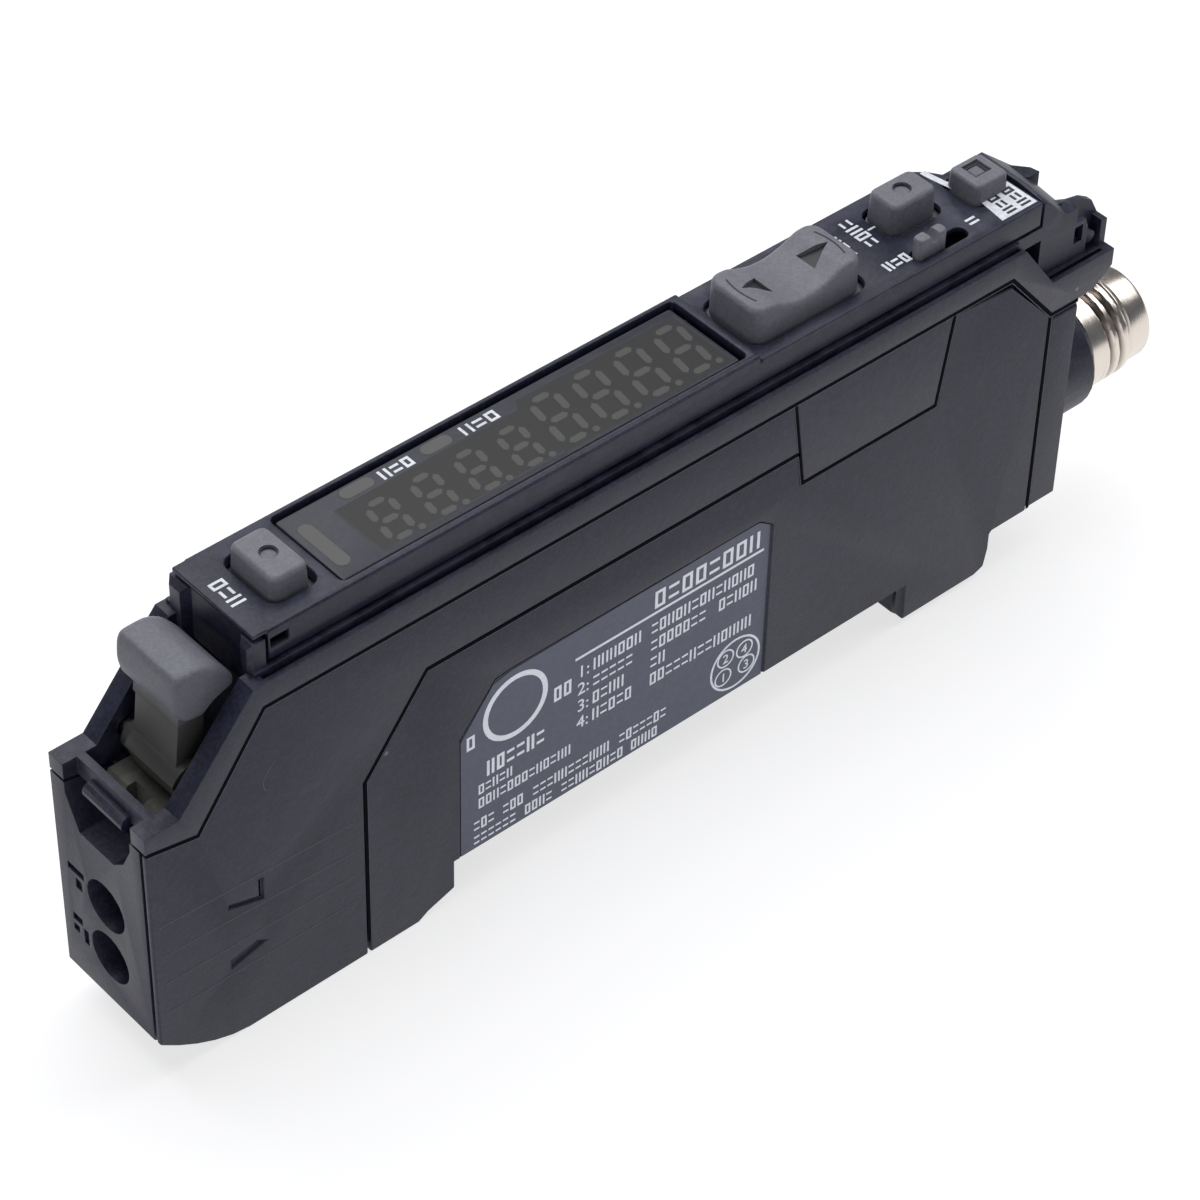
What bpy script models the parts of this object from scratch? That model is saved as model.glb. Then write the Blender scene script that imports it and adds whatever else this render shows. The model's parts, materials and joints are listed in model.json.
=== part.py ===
"""Fibre optic sensor amplifier: a slim module for a 35 mm rail with a round plug connector.

Lengths are in millimetres, measured back from the fibre face along X, across from the middle
plane along Y and up from the feet along Z. place() turns them into metres and puts the origin
under the middle of the whole length. The side that carries the covers faces -Y.
"""

import math

import bmesh
import bpy
from mathutils import Matrix, Vector

MM = 0.001

# Overall sizes
OVERALL = 90.5
WIDTH = 9.8
CASE_END = 80.4
HALF = WIDTH / 2

# Clearances and walls
SEAM = 0.22
FIT = 0.25
RUN = 0.3
WALL = 0.9
COVER = 0.45

# Nose and feet
NOSE_TOP = 20.45
NOSE_LOW = 3.3
NOSE_RUN = 6.9
FOOT_END = 20.9
RAIL_FRONT = 23.97
RAIL_REAR = 65.35
RAIL_CEILING = 3.7
RAIL_SEAT = 3.55
RAIL_WIDTH = 35.0
RAIL_MARGIN = (RAIL_REAR - RAIL_FRONT - RAIL_WIDTH) / 2 - 0.05
HOOK_END = 72.6
HOOK_BACK = 73.85
HEEL = 3.95

# Joint line between the case and the top frame
DIP_BACK = 3.93
DIP_TOP = 19.68
RISE_BACK = 9.32
STRIP_TOP = 27.17
SLOPE_BACK = 73.16
COLUMN_FRONT = 77.58
COLUMN_TOP = 21.9

# Joint line between the nose cover and the side plate
PLATE_FRONT = 16.73
PLATE_KINK = 15.91
PLATE_RISE = 21.81
PLATE_TOP = 22.62
PLATE_DIP = 0.5
PLATE_HEEL = 0.45

# Expansion cover
HATCH_TOP_FRONT = 53.13
HATCH_TOP_REAR = 67.59
HATCH_LOW_FRONT = 54.21
HATCH_LOW_REAR = 66.54
HATCH_LOW = 19.87

# Label recess in the side plate
LABEL_FRONT = 24.5
LABEL_REAR = 51.6
LABEL_TOP = 18.42
LABEL_SHOULDER = 14.65
LABEL_DEPTH = 0.15

# Top frame
LEG = 1.45
LEG_FLAT = 2.59
LEG_FRONT_TOP = 21.98
RIM_FRONT = 8.57
RIM_TOP = 29.18
RIM_REAR = 74.3
GUTTER_OUT = 4.5
GUTTER_IN = 4.2
GUTTER_FLOOR = 28.65
LEDGE_TOP = 29.5
SHOULDER_FRONT = 77.4
SHOULDER_TOP = 24.93
SHOULDER_END = 83.5
BLOCK_FRONT = 9.1
BLOCK_NEAR = 3.93
BLOCK_FAR = 4.4
LEDGE_FAR = 4.65
FRONT_WALL = 1.2
BAR_BACK = 1.1
BAR_DEPTH = 0.65
BEAD_RADIUS = 0.6
TAIL_END = 80.5
SHELF_TOP = 29.45
TAIL_FAR = 2.65
EAR_INNER = 2.4
EAR_WALL = 0.5
EAR_PIN_BACK = 82.0
EAR_PIN_UP = 26.0
EAR_PIN_RADIUS = 0.5

# Panel
PANEL_TOP = 32.12
REAR_TOP = 31.7
REAR_FRONT = 50.5
LIP = 0.32
LIP_FRONT = 9.5
PANEL_SKIN = 0.87
PANEL_SKIRT = 0.45
PANEL_REAR = 76.5
CORNER_WALL = 0.35
CORNER_FRONT = 71.5
BOARD_HALF = 3.05
BOARD_LOW = 28.0
BOARD_THICK = 0.7

# Display window
WINDOW_FRONT = 16.9
WINDOW_REAR = 49.4
WINDOW_NEAR = -3.1
WINDOW_FAR = 3.7
WINDOW_TOP = 31.85
WINDOW_THICK = 1.3
MODULE_HALF = 2.95
MODULE_STEP = 0.6
MODULE_REBATE = 0.35

# Push buttons: front, rear, centre across, half width, cap height, corner
PRESS = 0.2
PRESS_REST = 0.05
BUTTON_FLANGE = 0.4
END_GAP = 0.45
END_FLANGE = 0.65
FLANGE_THICK = 0.5
FLANGE_LOW = PANEL_TOP - PANEL_SKIN - FIT - FLANGE_THICK
SET_FRONT = 12.3
SET_REAR = 15.4
SET_ACROSS = 0.25
SET_HALF = 2.4
SET_TOP = 33.6
MODE_FRONT = 66.15
MODE_REAR = 70.4
MODE_ACROSS = 1.45
MODE_HALF = 1.5
MODE_TOP = 33.8
PRESET_FRONT = 72.75
PRESET_REAR = 75.95
PRESET_ACROSS = 0.25
PRESET_HALF = 1.6
PRESET_TOP = 33.1
DIMPLE_RADIUS = 0.62
DIMPLE_DEPTH = 0.25

# Rocker
ROCKER_FRONT = 51.25
ROCKER_REAR = 61.0
ROCKER_HALF = 2.6
ROCKER_TOP = 34.2
ROCKER_SADDLE = 33.3
ROCKER_STEM = 3.4
RIB_RADIUS = 0.4
RIB_HALF = 1.2

# Selector
SLOT_FRONT = 65.4
SLOT_ACROSS = -2.6
SLOT_HALF = 0.6
KNOB_LENGTH = 2.55
KNOB_TOP = 33.2
SELECT_TRAVEL = 1.9
SLOT_REAR = SLOT_FRONT + KNOB_LENGTH + SELECT_TRAVEL + 2 * FIT

# Switches on the front board
SWITCH_HALF = 1.25
SWITCH_HEIGHT = 1.1
PLUNGER_RADIUS = 0.5
PLUNGER_TOP = FLANGE_LOW - PRESS - PRESS_REST

# Fibre lever, its pin and the clamp
LEVER_BACK = 5.0
LEVER_UP = 22.2
BARREL_RADIUS = 1.7
BARREL_NEAR = -3.15
BARREL_FAR = 1.7
CLAMP_LIFT = 0.4
CAM_FLAT = BARREL_RADIUS - CLAMP_LIFT - 0.05
JOURNAL_RADIUS = 1.15
JOURNAL_FAR = 2.7
OPEN_ANGLE = 70.0
PIN_RADIUS = 0.6
PIN_BORE = 0.8
NECK_NEAR = -2.6
NECK_TOP = 28.2
PAD_NEAR = -3.2
PAD_FAR = 2.85
PAD_TOP = 31.15
FIBRE_RADIUS = 1.1
FIBRE_MOUTH = 1.95
MOUTH_DEPTH = 1.5
FIBRE_UPPER = 12.15
FIBRE_LOWER = 7.45
SHAFT_FRONT = 2.3
SHAFT_REAR = 8.7
SHAFT_HALF = 3.15
SHAFT_FLOOR = 3.6
CLAMP_LOW = 5.3

# Optics
HOLDER_FRONT = 16.8
HOLDER_REAR = 20.8
ELEMENT_RADIUS = 1.4

# Main board
BOARD_FRONT = 21.1
BOARD_REAR = 76.3
MAIN_ACROSS = 0.3
MAIN_THICK = 0.8
MAIN_LOW = 4.9
MAIN_TOP = 26.2

# Rail claw
CLAW_HALF = 2.2
CLAW_LOW = 1.2
CLAW_SHANK_TOP = 2.9
CLAW_BACK = 15.6
CLAW_TRAVEL = 2.0
CLAW_HEAD = RAIL_FRONT + CLAW_TRAVEL + 0.35
CLAW_FACE = RAIL_FRONT + RAIL_MARGIN
CLAW_LIP = 1.8
CLAW_LIP_TOP = 2.3
CLAW_POCKET = 12.0

# Plug connector
PLUG_UP = 12.8
BOSS_RADIUS = 4.65
BOSS_END = 83.85
THREAD_RADIUS = 4.0
THREAD_ROOT = 3.65
THREAD_VALLEYS = (85.75, 86.85, 87.6)
THREAD_END = 88.1
VALLEY_HALF = 0.17
RING_RADIUS = 3.7
RING_FRONT = 88.4
RING_NECK = 3.4
SOCKET_RADIUS = 3.05
STEM_RADIUS = 3.35
STEM_FRONT = 79.0
SOCKET_FLOOR = 84.0
CONTACT_RADIUS = 0.5
CONTACT_CIRCLE = 1.6
CONTACT_END = 89.0

FINISHES = {
    "case_plastic": ((0.040, 0.042, 0.054), 0.52, 0.0),
    "frame_plastic": ((0.032, 0.033, 0.042), 0.48, 0.0),
    "button_grey": ((0.125, 0.125, 0.128), 0.55, 0.0),
    "window_smoke": ((0.050, 0.050, 0.052), 0.12, 0.0),
    "clamp_cream": ((0.420, 0.400, 0.330), 0.50, 0.0),
    "nickel": ((0.620, 0.580, 0.530), 0.28, 1.0),
    "steel": ((0.550, 0.550, 0.560), 0.30, 1.0),
    "gold": ((0.750, 0.560, 0.250), 0.30, 1.0),
    "board_green": ((0.020, 0.120, 0.060), 0.45, 0.0),
    "switch_black": ((0.020, 0.020, 0.022), 0.45, 0.0),
    "lens_clear": ((0.800, 0.820, 0.850), 0.08, 0.0),
    "insert_black": ((0.015, 0.015, 0.016), 0.55, 0.0),
}


def clear_scene():
    """Start from an empty scene."""
    for item in list(bpy.data.objects):
        bpy.data.objects.remove(item, do_unlink=True)


def finish_material(name):
    """One Principled material for each finish, made once."""
    known = bpy.data.materials.get(name)
    if known:
        return known
    colour, roughness, metallic = FINISHES[name]
    material = bpy.data.materials.new(name)
    material.use_nodes = True
    surface = material.node_tree.nodes["Principled BSDF"]
    surface.inputs["Base Color"].default_value = (*colour, 1.0)
    surface.inputs["Roughness"].default_value = roughness
    surface.inputs["Metallic"].default_value = metallic
    return material


def place(x, y, z):
    """Millimetres from the fibre face, the middle plane and the feet, as a point in metres."""
    return Vector(((x - OVERALL / 2) * MM, y * MM, z * MM))


def spot(axis, u, v, depth):
    """A point (u, v) of an outline drawn across the given axis, at a depth along it."""
    if axis == "X":
        return place(depth, u, v)
    if axis == "Y":
        return place(u, depth, v)
    return place(u, v, depth)


def make_object(name, shape, finish):
    """Put a finished mesh in the scene under its name, with its material."""
    bmesh.ops.recalc_face_normals(shape, faces=shape.faces)
    mesh = bpy.data.meshes.new(name)
    shape.to_mesh(mesh)
    shape.free()
    item = bpy.data.objects.new(name, mesh)
    bpy.context.collection.objects.link(item)
    mesh.materials.append(finish_material(finish))
    return item


def add_prism(shape, axis, outline, low, high):
    """Add a straight extrusion of an outline between two depths to a mesh being built."""
    ring = [shape.verts.new(spot(axis, u, v, low)) for u, v in outline]
    cap = shape.faces.new(ring)
    grown = bmesh.ops.extrude_face_region(shape, geom=[cap])
    lifted = [part for part in grown["geom"] if isinstance(part, bmesh.types.BMVert)]
    shift = spot(axis, 0, 0, high) - spot(axis, 0, 0, low)
    bmesh.ops.translate(shape, verts=lifted, vec=shift)
    return lifted


def prism(name, axis, outline, low, high, finish):
    """One extruded solid as an object."""
    shape = bmesh.new()
    add_prism(shape, axis, outline, low, high)
    return make_object(name, shape, finish)


def rectangle(u0, u1, v0, v1):
    """The four corners of a rectangle."""
    return [(u0, v0), (u1, v0), (u1, v1), (u0, v1)]


def rounded(u0, u1, v0, v1, radius, steps=4):
    """A rectangle with round corners."""
    corners = [(u1, v1, 0), (u0, v1, 90), (u0, v0, 180), (u1, v0, 270)]
    points = []
    for corner_u, corner_v, start in corners:
        centre_u = corner_u - math.copysign(radius, corner_u - u0 - (u1 - u0) / 2)
        centre_v = corner_v - math.copysign(radius, corner_v - v0 - (v1 - v0) / 2)
        for step in range(steps + 1):
            angle = math.radians(start + 90 * step / steps)
            points.append((centre_u + radius * math.cos(angle), centre_v + radius * math.sin(angle)))
    return points


def circle(centre_u, centre_v, radius, steps=24):
    """A circle as an outline."""
    turns = [2 * math.pi * (step + 0.5) / steps for step in range(steps)]
    return [(centre_u + radius * math.cos(a), centre_v + radius * math.sin(a)) for a in turns]


def arc(centre_u, centre_v, radius, start, end, steps):
    """Points on an arc from one angle to another, in degrees."""
    span = [math.radians(start + (end - start) * step / steps) for step in range(steps + 1)]
    return [(centre_u + radius * math.cos(a), centre_v + radius * math.sin(a)) for a in span]


def cushion(name, outline, low, high, edge, finish, segments=2):
    """A cap standing along Z whose top edge is rounded by a bevel."""
    shape = bmesh.new()
    lifted = add_prism(shape, "Z", outline, low, high)
    top = max(vert.co.z for vert in lifted)
    rim = [e for e in shape.edges if all(abs(v.co.z - top) < 1e-6 for v in e.verts)]
    bmesh.ops.bevel(shape, geom=rim, offset=edge * MM, segments=segments, profile=0.5, affect="EDGES")
    return make_object(name, shape, finish)


def turned(name, profile, height, finish, steps=32):
    """A body of revolution about a line along X: profile is a closed list of (x, radius)."""
    shape = bmesh.new()
    rings = []
    for turn in range(steps):
        angle = 2 * math.pi * turn / steps
        ring = []
        for x, radius in profile:
            across = radius * math.cos(angle)
            up = height + radius * math.sin(angle)
            ring.append(shape.verts.new(place(x, across, up)))
        rings.append(ring)
    count = len(profile)
    for turn in range(steps):
        here = rings[turn]
        following = rings[(turn + 1) % steps]
        for step in range(count):
            after = (step + 1) % count
            if max(profile[step][1], profile[after][1]) < 1e-6:
                continue
            shape.faces.new((here[step], here[after], following[after], following[step]))
    bmesh.ops.remove_doubles(shape, verts=shape.verts, dist=1e-7)
    item = make_object(name, shape, finish)
    smooth(item)
    return item


def coil(name, start, axis, radius, wire, pitch, turns, finish, sides=6, steps=10):
    """A round wire spring that winds from start along an axis."""
    along = {"X": Vector((1, 0, 0)), "Y": Vector((0, 1, 0)), "Z": Vector((0, 0, 1))}[axis]
    across = along.orthogonal().normalized()
    third = along.cross(across)
    shape = bmesh.new()
    rings = []
    total = int(turns * steps)
    for step in range(total + 1):
        angle = 2 * math.pi * step / steps
        outward = across * math.cos(angle) + third * math.sin(angle)
        centre = start + outward * radius * MM + along * pitch * MM * step / steps
        ring = []
        for side in range(sides):
            turn = 2 * math.pi * side / sides
            offset = outward * math.cos(turn) + along * math.sin(turn)
            ring.append(shape.verts.new(centre + offset * wire * MM))
        rings.append(ring)
    for here, following in zip(rings, rings[1:]):
        for side in range(sides):
            after = (side + 1) % sides
            shape.faces.new((here[side], here[after], following[after], following[side]))
    shape.faces.new(rings[0])
    shape.faces.new(rings[-1])
    item = make_object(name, shape, finish)
    smooth(item)
    return item


def smooth(item, angle=30.0):
    """Shade a round piece smooth and keep its edges."""
    item.data.shade_smooth()
    item.data.set_sharp_from_angle(angle=math.radians(angle))


def combine(item, helper, operation):
    """Union or subtract a helper solid, which stays in the file as a wire guide."""
    helper.hide_render = True
    helper.display_type = "WIRE"
    step = item.modifiers.new(helper.name, "BOOLEAN")
    step.operation = operation
    step.object = helper
    step.solver = "EXACT"


def weld(item, helper):
    combine(item, helper, "UNION")


def carve(item, helper):
    combine(item, helper, "DIFFERENCE")


def joint_at(item, x, y, z):
    """Move an object's origin onto its joint's axis without moving its mesh."""
    origin = place(x, y, z)
    item.data.transform(Matrix.Translation(-origin))
    item.location = origin


def joint_line():
    """The joint between the case and the top frame, from the nose to the rear edge."""
    return [(0.0, NOSE_TOP), (DIP_BACK, DIP_TOP), (RISE_BACK, STRIP_TOP), (SLOPE_BACK, STRIP_TOP),
            (COLUMN_FRONT, COLUMN_TOP), (CASE_END, COLUMN_TOP)]


def offset_up(points, amount):
    """Shift a joint line up by a seam, and back where it climbs, so the gap stays even."""
    moved = []
    for index, (x, z) in enumerate(points):
        before = points[max(index - 1, 0)]
        after = points[min(index + 1, len(points) - 1)]
        run = after[0] - before[0]
        rise = after[1] - before[1]
        length = math.hypot(run, rise)
        moved.append((x - amount * rise / length, z + amount * run / length))
    moved[0] = (0.0, points[0][1] + amount)
    return moved


def nose():
    """The curved lower front of the case, from the fibre face down to the sole."""
    steps = 5
    points = []
    for step in range(steps + 1):
        share = step / steps
        points.append((NOSE_RUN * share, NOSE_LOW * (1 - share) ** 1.7))
    return points


def foot_back():
    """The rear of the front foot, from the sole up to the rail recess."""
    return [(FOOT_END, 0.0), (FOOT_END + 0.8, 0.5), (RAIL_FRONT, 1.25), (RAIL_FRONT, RAIL_CEILING)]


def hook(rear):
    """The rear hook, from the rail recess down to its sole and back up to the heel."""
    return [(RAIL_REAR, RAIL_CEILING), (RAIL_REAR, 0.4), (RAIL_REAR + 0.4, 0.0), (HOOK_END, 0.0),
            (HOOK_BACK - 0.3, 0.8), (HOOK_BACK, 2.4), (HOOK_BACK, HEEL - 0.2),
            (HOOK_BACK + 0.2, HEEL), (rear, HEEL)]


def main_case():
    """The far half of the case: fibre block, far wall, sole, rail recess and board ribs."""
    rear = COLUMN_FRONT - SEAM / 2
    line = joint_line()
    upper = [(rear, COLUMN_TOP), *reversed(line[:4])]
    side = [*nose(), *foot_back(), *hook(rear), *upper]
    near_face = -HALF + COVER + SEAM
    case = prism("main_case", "Y", side, near_face, HALF, "case_plastic")

    plate_inner = -HALF + WALL
    bay = rectangle(PLATE_FRONT - SEAM / 2, rear + 1, -1, STRIP_TOP + 1)
    carve(case, prism("cut_side_plate_bay", "Y", bay, -HALF - 1, plate_inner + SEAM, "case_plastic"))

    floor = RAIL_CEILING + WALL
    pocket = [(HOLDER_FRONT - FIT, floor), (rear - WALL, floor), (rear - WALL, COLUMN_TOP - 2),
              (SLOPE_BACK - WALL, STRIP_TOP + 1), (HOLDER_FRONT - FIT, STRIP_TOP + 1)]
    carve(case, prism("cut_board_pocket", "Y", pocket, -HALF - 1, HALF - WALL, "case_plastic"))
    for number, x in enumerate((30.0, 48.0, 72.0)):
        rib = rectangle(x, x + 1.0, floor - 0.3, 24.5)
        rib_face = MAIN_ACROSS + MAIN_THICK + FIT
        weld(case, prism(f"add_rib_{number}", "Y", rib, rib_face, HALF - WALL + 0.3, "case_plastic"))

    shaft = rectangle(SHAFT_FRONT, SHAFT_REAR, SHAFT_FLOOR, STRIP_TOP + 1)
    carve(case, prism("cut_clamp_shaft", "Y", shaft, -SHAFT_HALF, SHAFT_HALF, "case_plastic"))
    lever_half = HALF - LEG
    bay = [(SHAFT_FRONT - 0.1, 20.1), (BLOCK_FRONT, 20.1), (BLOCK_FRONT + 3.5, 24.0),
           (BLOCK_FRONT + 3.5, STRIP_TOP + 1), (SHAFT_FRONT - 0.1, STRIP_TOP + 1)]
    carve(case, prism("cut_lever_bay", "Y", bay, -lever_half, lever_half, "case_plastic"))
    notch = [(3.45, NOSE_TOP + 1), (3.45, 19.6), (2.2, 17.0), (-1.3, 17.0), (-2.4, 17.9),
             (-3.25, 19.7), (-3.25, NOSE_TOP + 1)]
    carve(case, prism("cut_front_notch", "X", notch, -1, SHAFT_FRONT + 0.4, "case_plastic"))

    for label, up in (("upper", FIBRE_UPPER), ("lower", FIBRE_LOWER)):
        mouth = circle(0.0, up, FIBRE_MOUTH)
        carve(case, prism(f"cut_mouth_{label}", "X", mouth, -1, MOUTH_DEPTH, "case_plastic"))
        bore = circle(0.0, up, FIBRE_RADIUS, 16)
        carve(case, prism(f"cut_bore_{label}", "X", bore, -1, HOLDER_FRONT, "case_plastic"))

    face = RAIL_REAR - RAIL_MARGIN
    tip = face - CLAW_LIP
    catch = [(RAIL_REAR + 0.5, CLAW_LOW), (tip + 0.4, CLAW_LOW), (tip, CLAW_LOW + 0.4), (tip, CLAW_LIP_TOP),
             (face, CLAW_LIP_TOP), (face, RAIL_CEILING + 0.4), (RAIL_REAR + 0.5, RAIL_CEILING + 0.4)]
    weld(case, prism("add_rail_catch", "Y", catch, -CLAW_HALF, CLAW_HALF, "case_plastic"))
    seat = rectangle(RAIL_FRONT + RAIL_MARGIN + CLAW_LIP + 0.4, tip - 0.4, RAIL_SEAT, RAIL_CEILING + 0.2)
    weld(case, prism("add_rail_seat", "Y", seat, -CLAW_HALF, CLAW_HALF, "case_plastic"))
    claw_half = CLAW_HALF + RUN
    den = rectangle(CLAW_POCKET, RAIL_FRONT + 1, CLAW_LOW - RUN, CLAW_SHANK_TOP + RUN)
    carve(case, prism("cut_claw_pocket", "Y", den, -claw_half, claw_half, "case_plastic"))
    return case


def nose_cover():
    """The thin near cover of the fibre block, with the strip that runs back under the rim."""
    front = PLATE_FRONT - SEAM / 2
    line = joint_line()
    side = [*nose(), (front, 0.0), (front, PLATE_KINK), (PLATE_RISE, PLATE_TOP + SEAM / 2),
            (HATCH_TOP_FRONT + 0.67 - SEAM, PLATE_TOP + SEAM / 2),
            (HATCH_TOP_FRONT - SEAM, STRIP_TOP), *reversed(line[:3])]
    cover = prism("nose_cover", "Y", side, -HALF, -HALF + COVER, "case_plastic")
    chevron = [(5.85, 12.15), (8.2, 11.4), (8.2, 12.9), (8.5, 12.9), (8.5, 11.05), (5.8, 11.9)]
    carve(cover, prism("cut_chevron", "Y", chevron, -HALF - 1, -HALF + 0.2, "case_plastic"))
    arrow = [(5.75, 6.45), (8.45, 7.15), (7.8, 7.55), (5.75, 7.15)]
    carve(cover, prism("cut_arrow", "Y", arrow, -HALF - 1, -HALF + 0.2, "case_plastic"))
    return cover


def side_plate():
    """The near cover of the electronics, with the label recess and its half of the rail recess."""
    front = PLATE_FRONT + SEAM / 2
    rear = COLUMN_FRONT - SEAM / 2
    top = PLATE_TOP - SEAM / 2
    heel = [(x, max(z, PLATE_HEEL)) for x, z in hook(rear)]
    side = [(front, 0.0), *foot_back(), *heel, (rear, COLUMN_TOP + 0.1),
            (SLOPE_BACK, STRIP_TOP - PLATE_DIP), (HATCH_TOP_REAR + SEAM, STRIP_TOP),
            (HATCH_LOW_REAR + SEAM, HATCH_LOW - SEAM),
            (HATCH_LOW_FRONT - SEAM, HATCH_LOW - SEAM), (HATCH_LOW_FRONT - SEAM - 0.4, top),
            (PLATE_RISE + 0.1, top), (front, PLATE_KINK - 0.1)]
    plate = prism("side_plate", "Y", side, -HALF, -HALF + WALL, "case_plastic")
    label = [(LABEL_FRONT, RAIL_CEILING - 1), (LABEL_REAR, RAIL_CEILING - 1), (LABEL_REAR, LABEL_TOP - 0.9),
             (LABEL_REAR - 1.2, LABEL_TOP), (LABEL_FRONT + 4.2, LABEL_TOP),
             (LABEL_FRONT + 2.9, LABEL_TOP - 0.15), (LABEL_FRONT, LABEL_SHOULDER)]
    carve(plate, prism("cut_label", "Y", label, -HALF - 1, -HALF + LABEL_DEPTH, "case_plastic"))
    post_end = MAIN_ACROSS - FIT
    for number, (x, z) in enumerate(((26.0, 20.0), (46.0, 10.0), (73.5, 20.0))):
        post = circle(x, z, 0.9, 12)
        weld(plate, prism(f"add_post_{number}", "Y", post, -HALF + WALL - 0.3, post_end, "case_plastic"))
    return plate


def expansion_cover():
    """The trapezoid cover over the side connector, with two snap tabs behind it."""
    side = [(HATCH_LOW_FRONT, HATCH_LOW), (HATCH_LOW_REAR, HATCH_LOW), (HATCH_TOP_REAR, STRIP_TOP),
            (HATCH_TOP_FRONT, STRIP_TOP)]
    cover = prism("expansion_cover", "Y", side, -HALF, -HALF + WALL, "case_plastic")
    for number, x in enumerate((HATCH_LOW_FRONT + 0.9, HATCH_LOW_REAR - 1.9)):
        tab = rectangle(x, x + 1.0, HATCH_LOW + 0.6, HATCH_LOW + 3.4)
        weld(cover, prism(f"add_tab_{number}", "Y", tab, -HALF + WALL - 0.3, -HALF + 2.3, "case_plastic"))
    return cover


def rear_case():
    """The rear column with the round boss that carries the plug."""
    front = COLUMN_FRONT + SEAM / 2
    column = prism("rear_case", "X", rounded(-HALF, HALF, HEEL, COLUMN_TOP - SEAM, 0.35, 2),
                   front, CASE_END, "case_plastic")
    boss = turned("add_boss", [(front + 0.5, 0.0), (front + 0.5, BOSS_RADIUS), (BOSS_END - 0.25, BOSS_RADIUS),
                               (BOSS_END, BOSS_RADIUS - 0.25), (BOSS_END, 0.0)], PLUG_UP, "case_plastic")
    weld(column, boss)
    bore = circle(0.0, PLUG_UP, STEM_RADIUS + FIT, 32)
    carve(column, prism("cut_plug_bore", "X", bore, STEM_FRONT - 0.3, BOSS_END + 1, "case_plastic"))
    way = circle(0.0, PLUG_UP, SOCKET_RADIUS - 0.6, 24)
    carve(column, prism("cut_wire_way", "X", way, front - 1, BOSS_END, "case_plastic"))
    return column


def tail_block():
    """The block behind the panel: it falls back to the hinge, with one corner sloped to the side."""
    front = PANEL_REAR + SEAM
    crest = REAR_TOP + 0.15
    near = -BLOCK_NEAR
    corners = [(front, TAIL_FAR, crest), (front, -1.2, crest), (front, near, REAR_TOP - 0.2),
               (77.0, -2.0, crest), (78.9, near, SHELF_TOP), (77.2, TAIL_FAR, crest),
               (79.2, TAIL_FAR - 0.2, 30.0), (TAIL_END, TAIL_FAR - 0.4, 29.2), (TAIL_END, near, 28.3)]
    corners += [(x, y, SHOULDER_TOP - 1) for x in (front, TAIL_END) for y in (near, TAIL_FAR - 0.5)]
    shape = bmesh.new()
    for x, y, z in corners:
        shape.verts.new(place(x, y, z))
    hull = bmesh.ops.convex_hull(shape, input=shape.verts)
    loose = {item for item in hull["geom_interior"] if isinstance(item, bmesh.types.BMVert)}
    bmesh.ops.delete(shape, geom=list(loose), context="VERTS")
    return make_object("add_tail", shape, "frame_plastic")


def add_ears(frame):
    """The hinge ears: the near one is a bracket round a pin, the far one a low lug."""
    outer = -BLOCK_NEAR
    wall = -EAR_INNER - EAR_WALL
    low = SHOULDER_TOP - 0.5
    recess = rectangle(80.3, SHOULDER_END + 1, SHOULDER_TOP, 31.0)
    carve(frame, prism("cut_ear_recess", "Y", recess, outer - 1, wall, "frame_plastic"))
    shelf = rectangle(78.7, 80.3, low, SHELF_TOP)
    weld(frame, prism("add_ear_shelf", "Y", shelf, outer, wall + 0.1, "frame_plastic"))
    inner = [(78.4, low), (78.4, 30.0), (TAIL_END, 29.2), (81.8, 28.9), (82.8, 28.3), (SHOULDER_END, 27.0),
             (SHOULDER_END, low)]
    weld(frame, prism("add_ear_wall", "Y", inner, wall - 0.02, -EAR_INNER, "frame_plastic"))
    plate = [(79.5, low), (79.5, 28.1), (81.2, 28.1), (81.5, 27.3), (81.5, low)]
    weld(frame, prism("add_ear_plate", "Y", plate, outer, outer + EAR_WALL, "frame_plastic"))
    slot = rectangle(80.2, 81.0, 26.3, 27.7)
    carve(frame, prism("cut_ear_slot", "Y", slot, outer - 1, outer + EAR_WALL + 0.2, "frame_plastic"))
    end = [(82.9, low), (82.9, 27.1), (SHOULDER_END, 27.0), (SHOULDER_END, low)]
    weld(frame, prism("add_ear_end", "Y", end, outer, wall + 0.1, "frame_plastic"))
    pin = circle(EAR_PIN_BACK, EAR_PIN_UP, EAR_PIN_RADIUS, 16)
    weld(frame, prism("add_ear_pin", "Y", pin, outer + 0.15, wall + 0.1, "frame_plastic"))
    lug = [(77.8, 2.2), (79.2, 2.2), (80.35, 0.85), (TAIL_END, 0.1), (79.4, 0.1)]
    weld(frame, prism("add_far_lug", "Z", lug, 28.0, 30.1, "frame_plastic"))


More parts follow.
